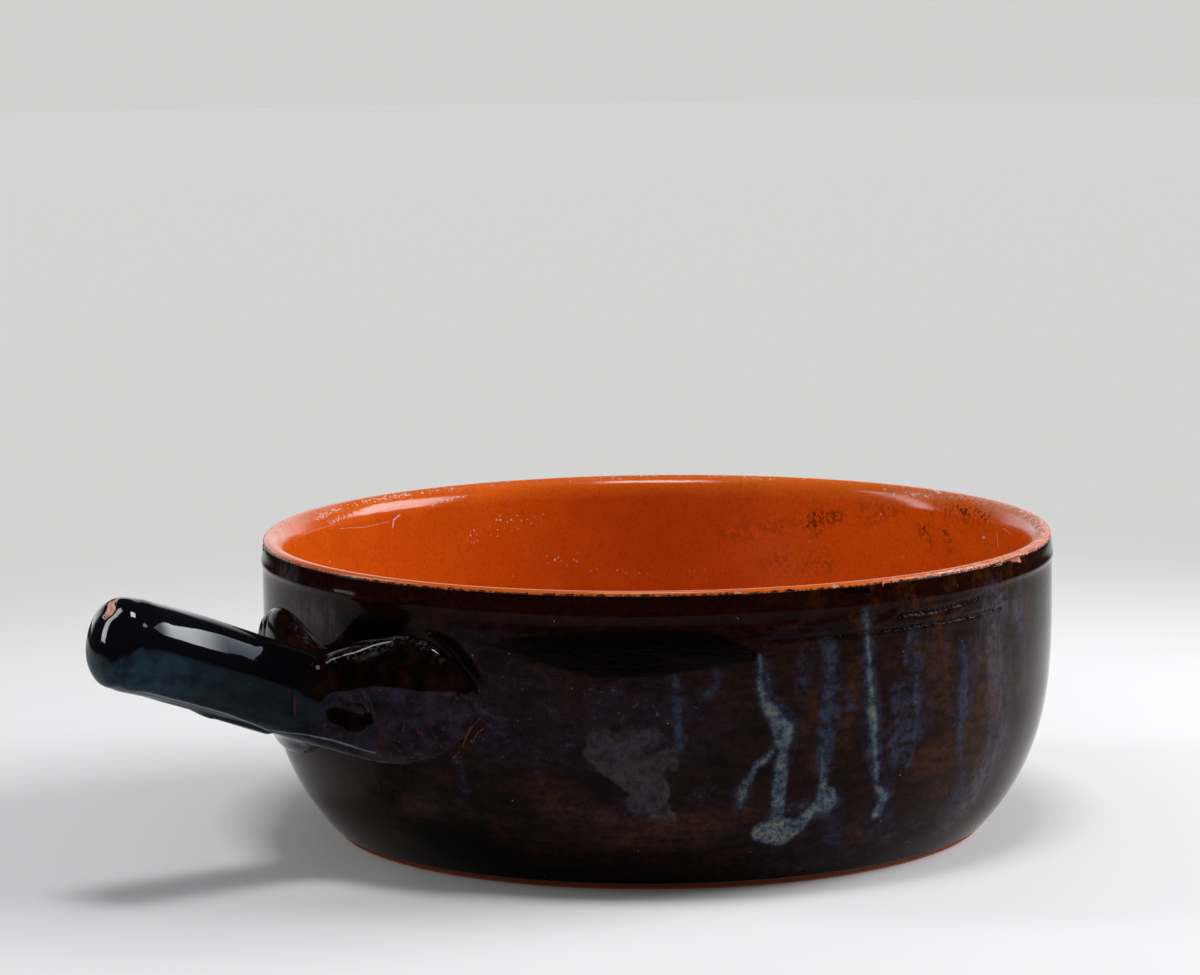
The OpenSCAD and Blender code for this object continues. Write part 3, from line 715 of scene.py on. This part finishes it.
def clear_glaze_finish():
    material, r, shader = new_material("clear glaze on orange clay")
    place = r.place()
    inside = r.group(INSIDE, {"Place": place})
    flat, reach = inside.outputs[0], inside.outputs[1]
    drop = r.node("SeparateXYZ", {0: flat}).outputs["Y"]
    stained, scuffed, pink_wear_and_sheen = r.painted("regions")[:3]
    broad = r.noise(place, 13.0, 3.0)
    grain = r.noise(place, 900.0, 3.0, 0.65)
    blotch = r.noise(place, 75.0, 5.0, 0.65)
    colour = r.blend(r.spread(r.calc("ADD", r.calc("MULTIPLY", broad, 0.6), r.calc("MULTIPLY", blotch, 0.4)), 0.38, 0.64),
                     (0.76, 0.134, 0.008, 1), (0.64, 0.095, 0.004, 1))
    colour = r.blend(r.calc("MULTIPLY", r.spread(grain, 0.48, 0.70), 0.40), colour, (0.34, 0.050, 0.004, 1))
    spots = r.spread(r.noise(place, 520.0, 3.0, 0.7), 0.46, 0.56)
    spots = r.calc("MULTIPLY", spots, r.spread(r.noise(place, 170.0, 3.0, 0.7), 0.36, 0.52))
    colour = r.blend(r.calc("MULTIPLY", r.calc("MULTIPLY", stained, spots), 0.95), colour, (0.085, 0.022, 0.004, 1))
    # Painted sheen: a paler band down the inner lip's roll, where the rounded lip catches light; it is rougher there
    # too.
    lip = r.calc("MULTIPLY", r.spread(drop, 7.5, 2.0), r.spread(grain, 0.65, 0.35, 0.55, 0.95))
    colour = r.blend(r.calc("MULTIPLY", lip, 0.6), colour, (0.74, 0.15, 0.022, 1))
    # Pinkish along the lip: partly worn glaze, partly a painted reflection of the pale backdrop.
    colour = r.blend(r.calc("MULTIPLY", r.calc("MULTIPLY", pink_wear_and_sheen, r.spread(grain, 0.6, 0.4, 0.5, 1.0)), 0.36), colour,
                     (0.58, 0.27, 0.20, 1))
    # Dust and small knocks: pale specks, thick in the scuffed places
    fine_dust = r.group(SPECKS, {"Place": place, "Scale": 420.0, "Share": 0.030, "Size": 0.17}).outputs[0]
    here = r.spread(r.noise(place, 30.0, 2.0), 0.46, 0.62)
    crumbs = r.group(SPECKS, {"Place": place, "Scale": 820.0, "Share": 0.40, "Size": 0.30}).outputs[0]
    dust = r.calc("MAXIMUM", r.calc("MULTIPLY", fine_dust, here), r.calc("MULTIPLY", crumbs, r.painted("dust")[0]))
    rubbed = r.calc("MULTIPLY", scuffed, r.spread(r.noise(r.stretched(place, (1, 1, 2)), 900.0, 3.0, 0.6), 0.50, 0.62))
    scratched = r.calc("MULTIPLY", marks(r, wandering(r, flat, place, 500.0, 0.5), SCRATCH_LINES, 0.12),
                       r.spread(r.noise(place, 1500.0, 2.0), 0.32, 0.50))
    pale = r.calc("MAXIMUM", dust, r.calc("MAXIMUM", rubbed, scratched))
    colour = r.blend(r.calc("MULTIPLY", pale, 0.85), colour, (0.88, 0.64, 0.57, 1))
    # The dark coat laps over the lip's outer edge, with a ragged hem
    hem = r.calc("ADD", reach, r.calc("MULTIPLY", r.calc("SUBTRACT", r.noise(place, 450.0, 4.0, 0.65), 0.5), 0.8))
    colour = r.blend(r.spread(hem, LIP_X + 1.18, LIP_X + 1.30), colour, (0.016, 0.0035, 0.0015, 1))
    chipped = r.group(CHIPPED, {"Place": place}).outputs[0]
    colour = r.blend(chipped, colour, r.blend(grain, RAW_CLAY, rgb(200, 118, 88)))
    r.feed(shader.inputs["Base Color"], colour)
    rough = r.calc("ADD", r.spread(blotch, 0.3, 0.7, 0.09, 0.17), r.calc("MULTIPLY", r.calc("MAXIMUM", pale, chipped), 0.5))
    rough = r.calc("ADD", rough, r.calc("MULTIPLY", r.calc("MAXIMUM", lip, pink_wear_and_sheen), 0.10))
    r.feed(shader.inputs["Roughness"], rough)
    shader.inputs["IOR"].default_value = 1.5
    shader.inputs["Specular IOR Level"].default_value = 0.40
    high = r.calc("ADD", r.calc("MULTIPLY", grain, 0.55), r.noise(r.stretched(place, (1, 1, 10)), 30.0, 2.0))
    bumps(r, shader, r.calc("SUBTRACT", high, r.calc("MULTIPLY", chipped, 2.5)), 0.06 * MM)
    return material


def dark_glaze_finish():
    material, r, shader = new_material("dark manganese glaze")
    place = r.place()
    flat = r.group(UNROLLED, {"Place": place, "Facing": FACING, "Radius": OUTER_R}).outputs[0]
    parts = r.node("SeparateXYZ", {0: flat}).outputs
    across, height = parts["X"], parts["Y"]
    hazy, dark_glaze_and_shade, brown = r.painted("regions")[:3]
    veiled, lumpy, shaded = r.painted("veils")[:3]
    ragged = wandering(r, flat, place, 260.0, 1.5)
    loose = wandering(r, flat, place, 150.0, 3.2)
    broad = r.noise(place, 24.0, 4.0, 0.6)
    brushed = r.noise(r.stretched(place, (1, 1, 4)), 80.0, 5.0, 0.65)
    dapple = r.spread(r.noise(place, 420.0, 4.0, 0.7), 0.42, 0.62)
    mottle = r.noise(r.stretched(place, (1, 1, 1.8)), 150.0, 5.0, 0.65)
    fine = r.noise(place, 620.0, 3.0, 0.6)
    curtain = r.noise(r.stretched(place, (1, 1, 0.12)), 95.0, 3.0)
    # Brown clay shows where the brush left the glaze thin
    tone = r.calc("ADD", r.calc("MULTIPLY", brushed, 0.5), r.calc("ADD", r.calc("MULTIPLY", broad, 0.3),
                                                                 r.calc("MULTIPLY", mottle, 0.2)))
    tone = r.spread(tone, 0.40, 0.60)
    colour = r.blend(tone, (0.0046, 0.0012, 0.0010, 1), (0.0195, 0.0062, 0.0046, 1))
    colour = r.blend(r.calc("MULTIPLY", brown, r.spread(brushed, 0.35, 0.6, 0.25, 0.90)), colour, (0.047, 0.0175, 0.0072, 1))
    band = r.calc("MULTIPLY", r.spread(height, 74.0, 84.0, 0.0, 1.0), r.spread(brushed, 0.36, 0.62, 0.65, 1.0))
    colour = r.blend(r.calc("MULTIPLY", band, 0.85), colour, (0.0160, 0.0025, 0.0010, 1))
    rusty = r.calc("MULTIPLY", r.spread(r.noise(place, 110.0, 5.0, 0.7), 0.52, 0.66), r.spread(across, 20.0, 70.0, 0.2, 1.0))
    colour = r.blend(r.calc("MULTIPLY", rusty, 0.42), colour, (0.075, 0.023, 0.0065, 1))
    # Milky haze in the glaze: a mauve bloom, curtains that hang down the wall, and grains of blue
    streaks = r.noise(r.stretched(place, (1, 1, 0.14)), 420.0, 2.0)
    bloom = r.calc("MULTIPLY", r.calc("MULTIPLY", hazy, r.spread(mottle, 0.38, 0.62, 0.10, 1.0)),
                   r.spread(streaks, 0.36, 0.62, 0.45, 1.15))
    colour = r.blend(r.calc("MULTIPLY", bloom, 0.60), colour, (0.0175, 0.0125, 0.0250, 1))
    # Paler mauve-grey towards both sides: partly milky haze, partly a painted reflection of the bright backdrop where
    # the wall turns away.
    sides = r.calc("MAXIMUM", r.spread(across, -100.0, -116.0), r.spread(across, 94.0, 116.0))
    sides = r.calc("MULTIPLY", r.calc("MULTIPLY", sides, hazy), r.spread(streaks, 0.32, 0.62, 0.35, 1.0))
    colour = r.blend(r.calc("MULTIPLY", sides, 0.75), colour, (0.080, 0.063, 0.076, 1))
    hung = r.calc("MULTIPLY", r.spread(curtain, 0.54, 0.66), r.calc("MULTIPLY", r.spread(across, 20.0, 45.0),
                                                                  r.spread(height, 82.0, 70.0)))
    colour = r.blend(r.calc("MULTIPLY", r.calc("MULTIPLY", hung, r.spread(mottle, 0.35, 0.6, 0.3, 1.0)), 0.55), colour,
                     (0.026, 0.025, 0.052, 1))
    grains = r.calc("MULTIPLY", r.spread(fine, 0.56, 0.68), r.spread(mottle, 0.50, 0.66))
    colour = r.blend(r.calc("MULTIPLY", r.calc("MULTIPLY", grains, hazy), 0.65), colour, (0.075, 0.085, 0.130, 1))
    veil = r.calc("MULTIPLY", veiled, r.spread(r.calc("ADD", mottle, r.calc("MULTIPLY", fine, 0.5)), 0.62, 0.86, 0.15, 1.0))
    colour = r.blend(r.calc("MULTIPLY", veil, 0.80), colour, (0.033, 0.039, 0.068, 1))
    # Painted shade: near black where the shade mask lies.
    colour = r.blend(r.calc("MULTIPLY", shaded, 0.96), colour, (0.0004, 0.0002, 0.0002, 1))
    # Painted near black along these dark runs: thick dark glaze in places, painted shade and a painted dark reflection
    # in others; weaker towards the band.
    dark_pools_and_shade = r.calc("ADD", dark_glaze_and_shade, r.calc("MULTIPLY", r.calc("SUBTRACT", r.calc("ADD", fine, mottle), 1.0), 0.6))
    dark_pools_and_shade = r.calc("MULTIPLY", r.spread(dark_pools_and_shade, 0.28, 0.66), r.spread(height, 82.0, 75.5, 0.45, 1.0))
    colour = r.blend(dark_pools_and_shade, colour, (0.0010, 0.0003, 0.0002, 1))
    past_patch = r.group(PATCH, {"Flat": loose}).outputs[0]
    patch = r.calc("MULTIPLY", r.spread(past_patch, 0.5, -0.5), r.spread(height, 47.0, 31.0, 0.55, 1.0))
    halo = r.calc("MULTIPLY", r.spread(past_patch, 2.2, -2.2), r.spread(mottle, 0.42, 0.6))
    colour = r.blend(r.calc("MULTIPLY", halo, 0.7), colour, (0.030, 0.034, 0.060, 1))
    rubbed = r.spread(r.noise(r.stretched(place, (1, 1, 0.3)), 260.0, 4.0, 0.6), 0.62, 0.44, 0.30, 1.0)
    colour = r.blend(r.calc("MULTIPLY", patch, rubbed), colour, (0.050, 0.039, 0.041, 1))
    # Runs: a blue skirt round a creamy core, with burst bubbles where they pool
    past_cream = r.group(CREAM, {"Flat": ragged}).outputs[0]
    skirt = r.calc("MAXIMUM", marks(r, ragged, BLUE, 1.1), r.spread(past_cream, 1.7, -1.7))
    skirt = r.calc("MULTIPLY", skirt, r.spread(r.calc("ADD", mottle, fine), 0.78, 1.12, 0.15, 1.0))
    colour = r.blend(skirt, colour, (0.031, 0.041, 0.072, 1))
    core = r.spread(past_cream, 0.8, -0.8)
    core = r.calc("MULTIPLY", core, r.spread(r.calc("ADD", fine, mottle), 0.82, 1.06, 0.35, 1.0))
    creamy = r.blend(r.spread(mottle, 0.47, 0.64), (0.078, 0.110, 0.142, 1), (0.165, 0.175, 0.140, 1))
    colour = r.blend(core, colour, creamy)
    bubbles = r.node("TexVoronoi", {"Vector": place, "Scale": 780.0}).outputs["Distance"]
    bubbles = r.calc("MULTIPLY", r.calc("MULTIPLY", r.spread(bubbles, 0.34, 0.20), r.spread(height, 44.0, 30.0, 0.15, 1.0)), r.calc("MAXIMUM", core, r.calc("MULTIPLY", skirt, 0.45)))
    colour = r.blend(r.calc("MULTIPLY", bubbles, 0.85), colour, (0.014, 0.014, 0.020, 1))
    pits = marks(r, ragged, PITS, 0.4)
    colour = r.blend(pits, colour, (0.0015, 0.0008, 0.0008, 1))
    # Pale blue-white specks: partly dust, partly painted glints standing in for tiny bumps and pinholes.
    dots = r.group(SPECKS, {"Place": place, "Scale": 230.0, "Share": 0.075, "Size": 0.055}).outputs[0]
    colour = r.blend(r.calc("MULTIPLY", dots, 0.7), colour, (0.25, 0.27, 0.30, 1))
    colour = r.blend(r.calc("MULTIPLY", dapple, 0.50), colour, (0.0012, 0.0005, 0.0005, 1))
    torn = r.calc("MULTIPLY", marks(r, ragged, TORN, 0.5), r.spread(fine, 0.4, 0.6))
    colour = r.blend(r.calc("MULTIPLY", torn, 0.9), colour, (0.0010, 0.0006, 0.0006, 1))
    cracked = r.group(CRACKED, {"Place": place}).outputs[0]
    colour = r.blend(cracked, colour, (0.18, 0.047, 0.016, 1))
    chipped = r.group(CHIPPED, {"Place": place}).outputs[0]
    colour = r.blend(chipped, colour, r.blend(fine, RAW_CLAY, rgb(200, 118, 88)))
    r.feed(shader.inputs["Base Color"], colour)
    rough = r.spread(broad, 0.3, 0.7, 0.035, 0.085)
    rough = r.calc("ADD", rough, r.calc("MULTIPLY", r.calc("MAXIMUM", patch, r.calc("MULTIPLY", bloom, 0.3)), 0.30))
    rough = r.calc("ADD", rough, r.calc("MULTIPLY", r.calc("MAXIMUM", r.calc("MULTIPLY", core, 0.3), chipped), 0.5))
    r.feed(shader.inputs["Roughness"], rough)
    shader.inputs["IOR"].default_value = 1.5
    shader.inputs["Specular IOR Level"].default_value = 0.05
    shader.inputs["Specular Tint"].default_value = (1.0, 0.86, 1.0, 1)
    sand = r.group(SPECKS, {"Place": place, "Scale": 210.0, "Share": 0.16, "Size": 0.09}).outputs[0]
    high = r.calc("ADD", r.calc("MULTIPLY", r.noise(place, 300.0, 2.0), 0.20), r.calc("MULTIPLY", sand, 1.6))
    high = r.calc("ADD", high, r.calc("MULTIPLY", brushed, 0.45))
    high = r.calc("ADD", high, r.calc("MULTIPLY", lumpy, r.calc("MULTIPLY", r.noise(place, 520.0, 3.0, 0.6), 2.2)))
    bumps(r, shader, r.calc("SUBTRACT", high, r.calc("MULTIPLY", torn, 1.5)), 0.08 * MM)
    return material


def handle_glaze_finish():
    material, r, shader = new_material("thick dark glaze on the handle")
    place = r.place()
    scaled = r.node("VectorMath", {0: place, "Scale": 1 / MM}, operation="SCALE").outputs[0]
    crest, grip = r.painted("regions")[:2]
    broad = r.noise(place, 45.0, 4.0, 0.6)
    mottle = r.noise(place, 190.0, 5.0, 0.65)
    fine = r.noise(place, 620.0, 3.0, 0.6)
    wing = r.blend(r.spread(r.calc("ADD", r.calc("MULTIPLY", broad, 0.6), r.calc("MULTIPLY", mottle, 0.4)), 0.44, 0.62),
                   (0.0022, 0.0008, 0.0006, 1), (0.017, 0.0050, 0.0030, 1))
    # Painted reflection: the parts that face down are painted paler, as the glaze there reflects the bright floor. On
    # the wings this is milky mauve and blue with brown flecks, partly milky glaze; along the grip it is a teal bar with
    # olive flecks, brighter towards the end.
    facing_down = r.node("SeparateXYZ", {0: r.node("TexCoord").outputs["Normal"]}).outputs["Z"]
    low = r.spread(facing_down, 0.10, -0.08)
    milky_glaze_and_floor_sheen = r.blend(r.spread(broad, 0.42, 0.60), (0.030, 0.0110, 0.0170, 1), (0.0120, 0.0140, 0.0340, 1))
    wing = r.blend(r.calc("MULTIPLY", r.calc("MULTIPLY", low, r.spread(mottle, 0.36, 0.62)), 0.85), wing, milky_glaze_and_floor_sheen)
    wing = r.blend(r.calc("MULTIPLY", r.calc("MULTIPLY", low, r.spread(fine, 0.54, 0.68)), 0.6), wing, (0.060, 0.024, 0.012, 1))
    along = r.node("SeparateXYZ", {0: scaled}).outputs["X"]
    teal_floor_reflection = r.blend(r.spread(along, -186.0, -152.0), (0.0140, 0.0320, 0.0480, 1), (0.0062, 0.0122, 0.0155, 1))
    grip_with_floor_reflection = r.blend(r.calc("MULTIPLY", low, r.spread(mottle, 0.34, 0.62, 0.3, 1.0)), (0.0030, 0.0026, 0.0040, 1), teal_floor_reflection)
    grip_with_floor_reflection = r.blend(r.calc("MULTIPLY", low, r.spread(mottle, 0.60, 0.72)), grip_with_floor_reflection, (0.030, 0.026, 0.018, 1))
    colour = r.blend(grip, wing, grip_with_floor_reflection)
    # Painted glints: pale ragged flecks along the wing crests stand in for broken highlights on the lumpy glaze.
    painted_crest_glints = r.calc("MULTIPLY", crest, r.spread(fine, 0.53, 0.62))
    colour = r.blend(r.calc("MULTIPLY", painted_crest_glints, 0.40), colour, (0.120, 0.130, 0.150, 1))
    # Painted highlight: a pale thin line along the handle's lower edge, where the edge catches the bright floor.
    painted_edge_highlight = r.calc("MULTIPLY", marks(r, scaled, LOWER_EDGE, 0.4), r.spread(mottle, 0.30, 0.50, 0.4, 1.0))
    colour = r.blend(r.calc("MULTIPLY", painted_edge_highlight, 0.9), colour, (0.26, 0.30, 0.38, 1))
    seam = marks(r, scaled, SEAM, 0.5)
    colour = r.blend(r.calc("MULTIPLY", seam, r.spread(fine, 0.4, 0.6)), colour, (0.090, 0.022, 0.010, 1))
    cracked = r.group(CRACKED, {"Place": place}).outputs[0]
    colour = r.blend(cracked, colour, (0.18, 0.047, 0.016, 1))
    # Pale blue-white specks: partly dust, partly painted glints standing in for tiny bumps and pinholes.
    dots = r.group(SPECKS, {"Place": place, "Scale": 260.0, "Share": 0.05, "Size": 0.05}).outputs[0]
    colour = r.blend(r.calc("MULTIPLY", dots, 0.5), colour, (0.25, 0.27, 0.30, 1))
    stirred = r.node("TexNoise", {"Vector": place, "Scale": 500.0, "Detail": 2.0}).outputs["Color"]
    stirred = r.node("VectorMath", {0: stirred, 1: (0.5, 0.5, 0.5)}, operation="SUBTRACT").outputs[0]
    stirred = r.node("VectorMath", {0: stirred, 1: (2.2, 2.2, 2.2), 2: scaled}, operation="MULTIPLY_ADD").outputs[0]
    chip = marks(r, stirred, END_SPOT, 0.12)
    colour = r.blend(chip, colour, r.blend(r.spread(fine, 0.35, 0.65), rgb(236, 190, 170), rgb(206, 130, 106)))
    r.feed(shader.inputs["Base Color"], colour)
    rough = r.calc("ADD", r.spread(broad, 0.3, 0.7, 0.03, 0.07), r.calc("MULTIPLY", chip, 0.7))
    r.feed(shader.inputs["Roughness"], rough)
    # The coat is thickest over the end, and again where the grip's highlight lies
    glossy = r.calc("MULTIPLY", r.spread(along, -181.0, -176.0), r.spread(along, -157.0, -172.0, 0.0, 0.85))
    glossy = r.calc("MAXIMUM", glossy, r.spread(along, -183.0, -189.0, 0.02, 0.90))
    glossy = r.calc("MULTIPLY", glossy, r.spread(facing_down, 0.06, 0.28))
    glossy = r.calc("MAXIMUM", r.calc("MULTIPLY", grip, glossy), r.calc("MULTIPLY", crest, 0.8))
    r.feed(shader.inputs["Coat Weight"], r.calc("MULTIPLY", glossy, r.calc("SUBTRACT", 1.0, chip)))
    shader.inputs["Coat Roughness"].default_value = 0.03
    shader.inputs["IOR"].default_value = 1.5
    shader.inputs["Specular IOR Level"].default_value = 0.09
    shader.inputs["Specular Tint"].default_value = (0.45, 0.66, 0.92, 1)
    sand = r.group(SPECKS, {"Place": place, "Scale": 260.0, "Share": 0.15, "Size": 0.10}).outputs[0]
    sand = r.calc("MULTIPLY", sand, r.calc("SUBTRACT", 1.4, grip))
    high = r.calc("ADD", r.calc("MULTIPLY", r.noise(place, 300.0, 2.0), 0.13), sand)
    high = r.calc("ADD", high, r.calc("MULTIPLY", r.calc("MULTIPLY", crest, r.noise(place, 800.0, 3.0, 0.7)), 1.6))
    bumps(r, shader, r.calc("ADD", high, r.calc("MULTIPLY", r.calc("MULTIPLY", chip, fine), 6.0)), 0.06 * MM)
    return material


def bare_clay_finish():
    material, r, shader = new_material("bare red clay")
    place = r.place()
    grain = r.noise(place, 900.0, 3.0, 0.6)
    colour = r.blend(r.spread(grain, 0.35, 0.7), rgb(168, 84, 44), rgb(200, 108, 62))
    height = r.node("SeparateXYZ", {0: place}).outputs["Z"]
    # Painted shade: above its lowest mm the bare clay is darkened, for the shadow under the wall's overhang.
    colour = r.blend(r.calc("MULTIPLY", r.spread(height, 0.1 * MM, 0.9 * MM), 0.8), colour, (0.085, 0.013, 0.003, 1))
    r.feed(shader.inputs["Base Color"], colour)
    shader.inputs["Roughness"].default_value = 0.85
    bumps(r, shader, grain, 0.05 * MM)
    return material


# Floor, light and surroundings

BACKDROP = (0.635, 0.64, 0.63, 1)
# How far in front of the pot's axis the table ends, and how far its edge is turned
TABLE_EDGE = 0.485
TABLE_TURN = math.radians(-10)

def pale_floor_finish():
    """Pale paper round the pot that holds its shadow, and farther off an even grey that the lamps don't change."""
    material, r, shader = new_material("pale floor")
    shader.inputs["Roughness"].default_value = 0.9
    shader.inputs["Specular IOR Level"].default_value = 0.1
    reach = r.node("VectorMath", {0: r.place()}, operation="LENGTH").outputs["Value"]
    far = r.spread(reach, 0.27, 0.60)
    r.feed(shader.inputs["Base Color"], r.blend(far, (0.92, 0.92, 0.93, 1), (0.0, 0.0, 0.0, 1)))
    # Reflections see the table end, and the dark room behind it
    ended = r.calc("MULTIPLY", r.node("LightPath").outputs["Is Glossy Ray"], r.spread(reach, 0.70, 0.92))
    pale = r.blend(ended, BACKDROP, (0.02, 0.02, 0.02, 1))
    r.feed(shader.inputs["Emission Color"], r.blend(far, (0.0, 0.0, 0.0, 1), pale))
    shader.inputs["Emission Strength"].default_value = 1.0
    return material


def make_floor():
    form = bmesh.new()
    bmesh.ops.create_circle(form, cap_ends=True, segments=96, radius=4.0)
    floor = finished("floor", form)
    floor.data.materials.append(pale_floor_finish())
    # The table ends in front of the pot, and beyond it the room is dark; only reflections see that
    form = bmesh.new()
    bmesh.ops.create_grid(form, x_segments=1, y_segments=1, size=1.0)
    bmesh.ops.scale(form, vec=(2.4, 1.2, 1), verts=form.verts)
    bmesh.ops.translate(form, vec=(0, -(TABLE_EDGE + 1.2), 0.002), verts=form.verts)
    bmesh.ops.rotate(form, matrix=Matrix.Rotation(TABLE_TURN - VIEW_TURN, 3, "Z"), verts=form.verts)
    gap = finished("dark_room_floor", form)
    material, r, shader = new_material("dark room")
    shader.inputs["Base Color"].default_value = (0.002, 0.002, 0.002, 1)
    shader.inputs["Roughness"].default_value = 1.0
    gap.data.materials.append(material)
    gap.visible_camera = False
    gap.visible_diffuse = False
    gap.visible_shadow = False


def add_softbox(name, turn, rise, distance, width, height, power):
    """A soft box aimed at the pot. turn is degrees from the camera's side, + to its right; rise is degrees up."""
    a, e = math.radians(turn), math.radians(rise)
    flat = -AHEAD * math.cos(a) + SIDEWAYS * math.sin(a)
    spot = flat * math.cos(e) * distance + UP * math.sin(e) * distance
    lamp = bpy.data.lights.new(name, "AREA")
    lamp.shape = "RECTANGLE"
    lamp.size = width
    lamp.size_y = height
    lamp.energy = power
    box = bpy.data.objects.new(name, lamp)
    bpy.context.scene.collection.objects.link(box)
    box.location = spot
    box.rotation_euler = (UP * 0.05 - spot).to_track_quat("-Z", "Y").to_euler()


def light_the_studio():
    add_softbox("left_strip", -98, 28, 1.6, 0.26, 1.30, 5.5)
    add_softbox("right_box", 100, 31, 1.6, 1.00, 0.80, 21)
    add_softbox("top_box", 0, 82, 1.9, 0.55, 0.45, 11)
    world = bpy.data.worlds.new("studio")
    bpy.context.scene.world = world
    world.use_nodes = True
    r = Recipe(world.node_tree)
    shine = world.node_tree.nodes["Background"]
    toward = r.node("TexCoord").outputs["Generated"]
    depth = r.node("VectorMath", {0: toward, 1: tuple(AHEAD)}, operation="DOT_PRODUCT").outputs["Value"]
    low = r.spread(r.node("SeparateXYZ", {0: toward}).outputs["Z"], 0.50, 0.34)
    room = r.blend(r.calc("MULTIPLY", r.spread(depth, 0.66, 0.88), low), (0.02, 0.02, 0.023, 1), (1.05, 1.05, 1.09, 1))
    ray = r.node("LightPath").outputs
    # Reflections see the dark room and the pale cloth behind the pot; what lights the pot is an even glow
    seen = r.blend(ray["Is Glossy Ray"], (0.22, 0.22, 0.225, 1), room)
    r.feed(shine.inputs["Color"], r.blend(ray["Is Camera Ray"], seen, BACKDROP))
    shine.inputs["Strength"].default_value = 1.0


# The whole scene

bpy.context.scene.view_settings.view_transform = "Standard"
place_camera()
light_the_studio()
make_floor()

outer_coat = make_outer_coat()
outer_coat.data.materials.append(dark_glaze_finish())
inner_coat = make_inner_coat()
inner_coat.data.materials.append(clear_glaze_finish())
handle_coat = make_handle_coat()
handle_coat.data.materials.clear()
handle_coat.data.materials.append(handle_glaze_finish())
for piece, nodes, slot in ((outer_coat, ("outer_glaze",), "dark_glaze"),
                           (inner_coat, ("inner_glaze",), "clear_glaze"),
                           (handle_coat, HANDLE_NODES, "handle_dark_glaze")):
    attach(piece, "root")
    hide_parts(*nodes)

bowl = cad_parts["bowl"].data
bowl.materials.clear()
bowl.materials.append(bare_clay_finish())
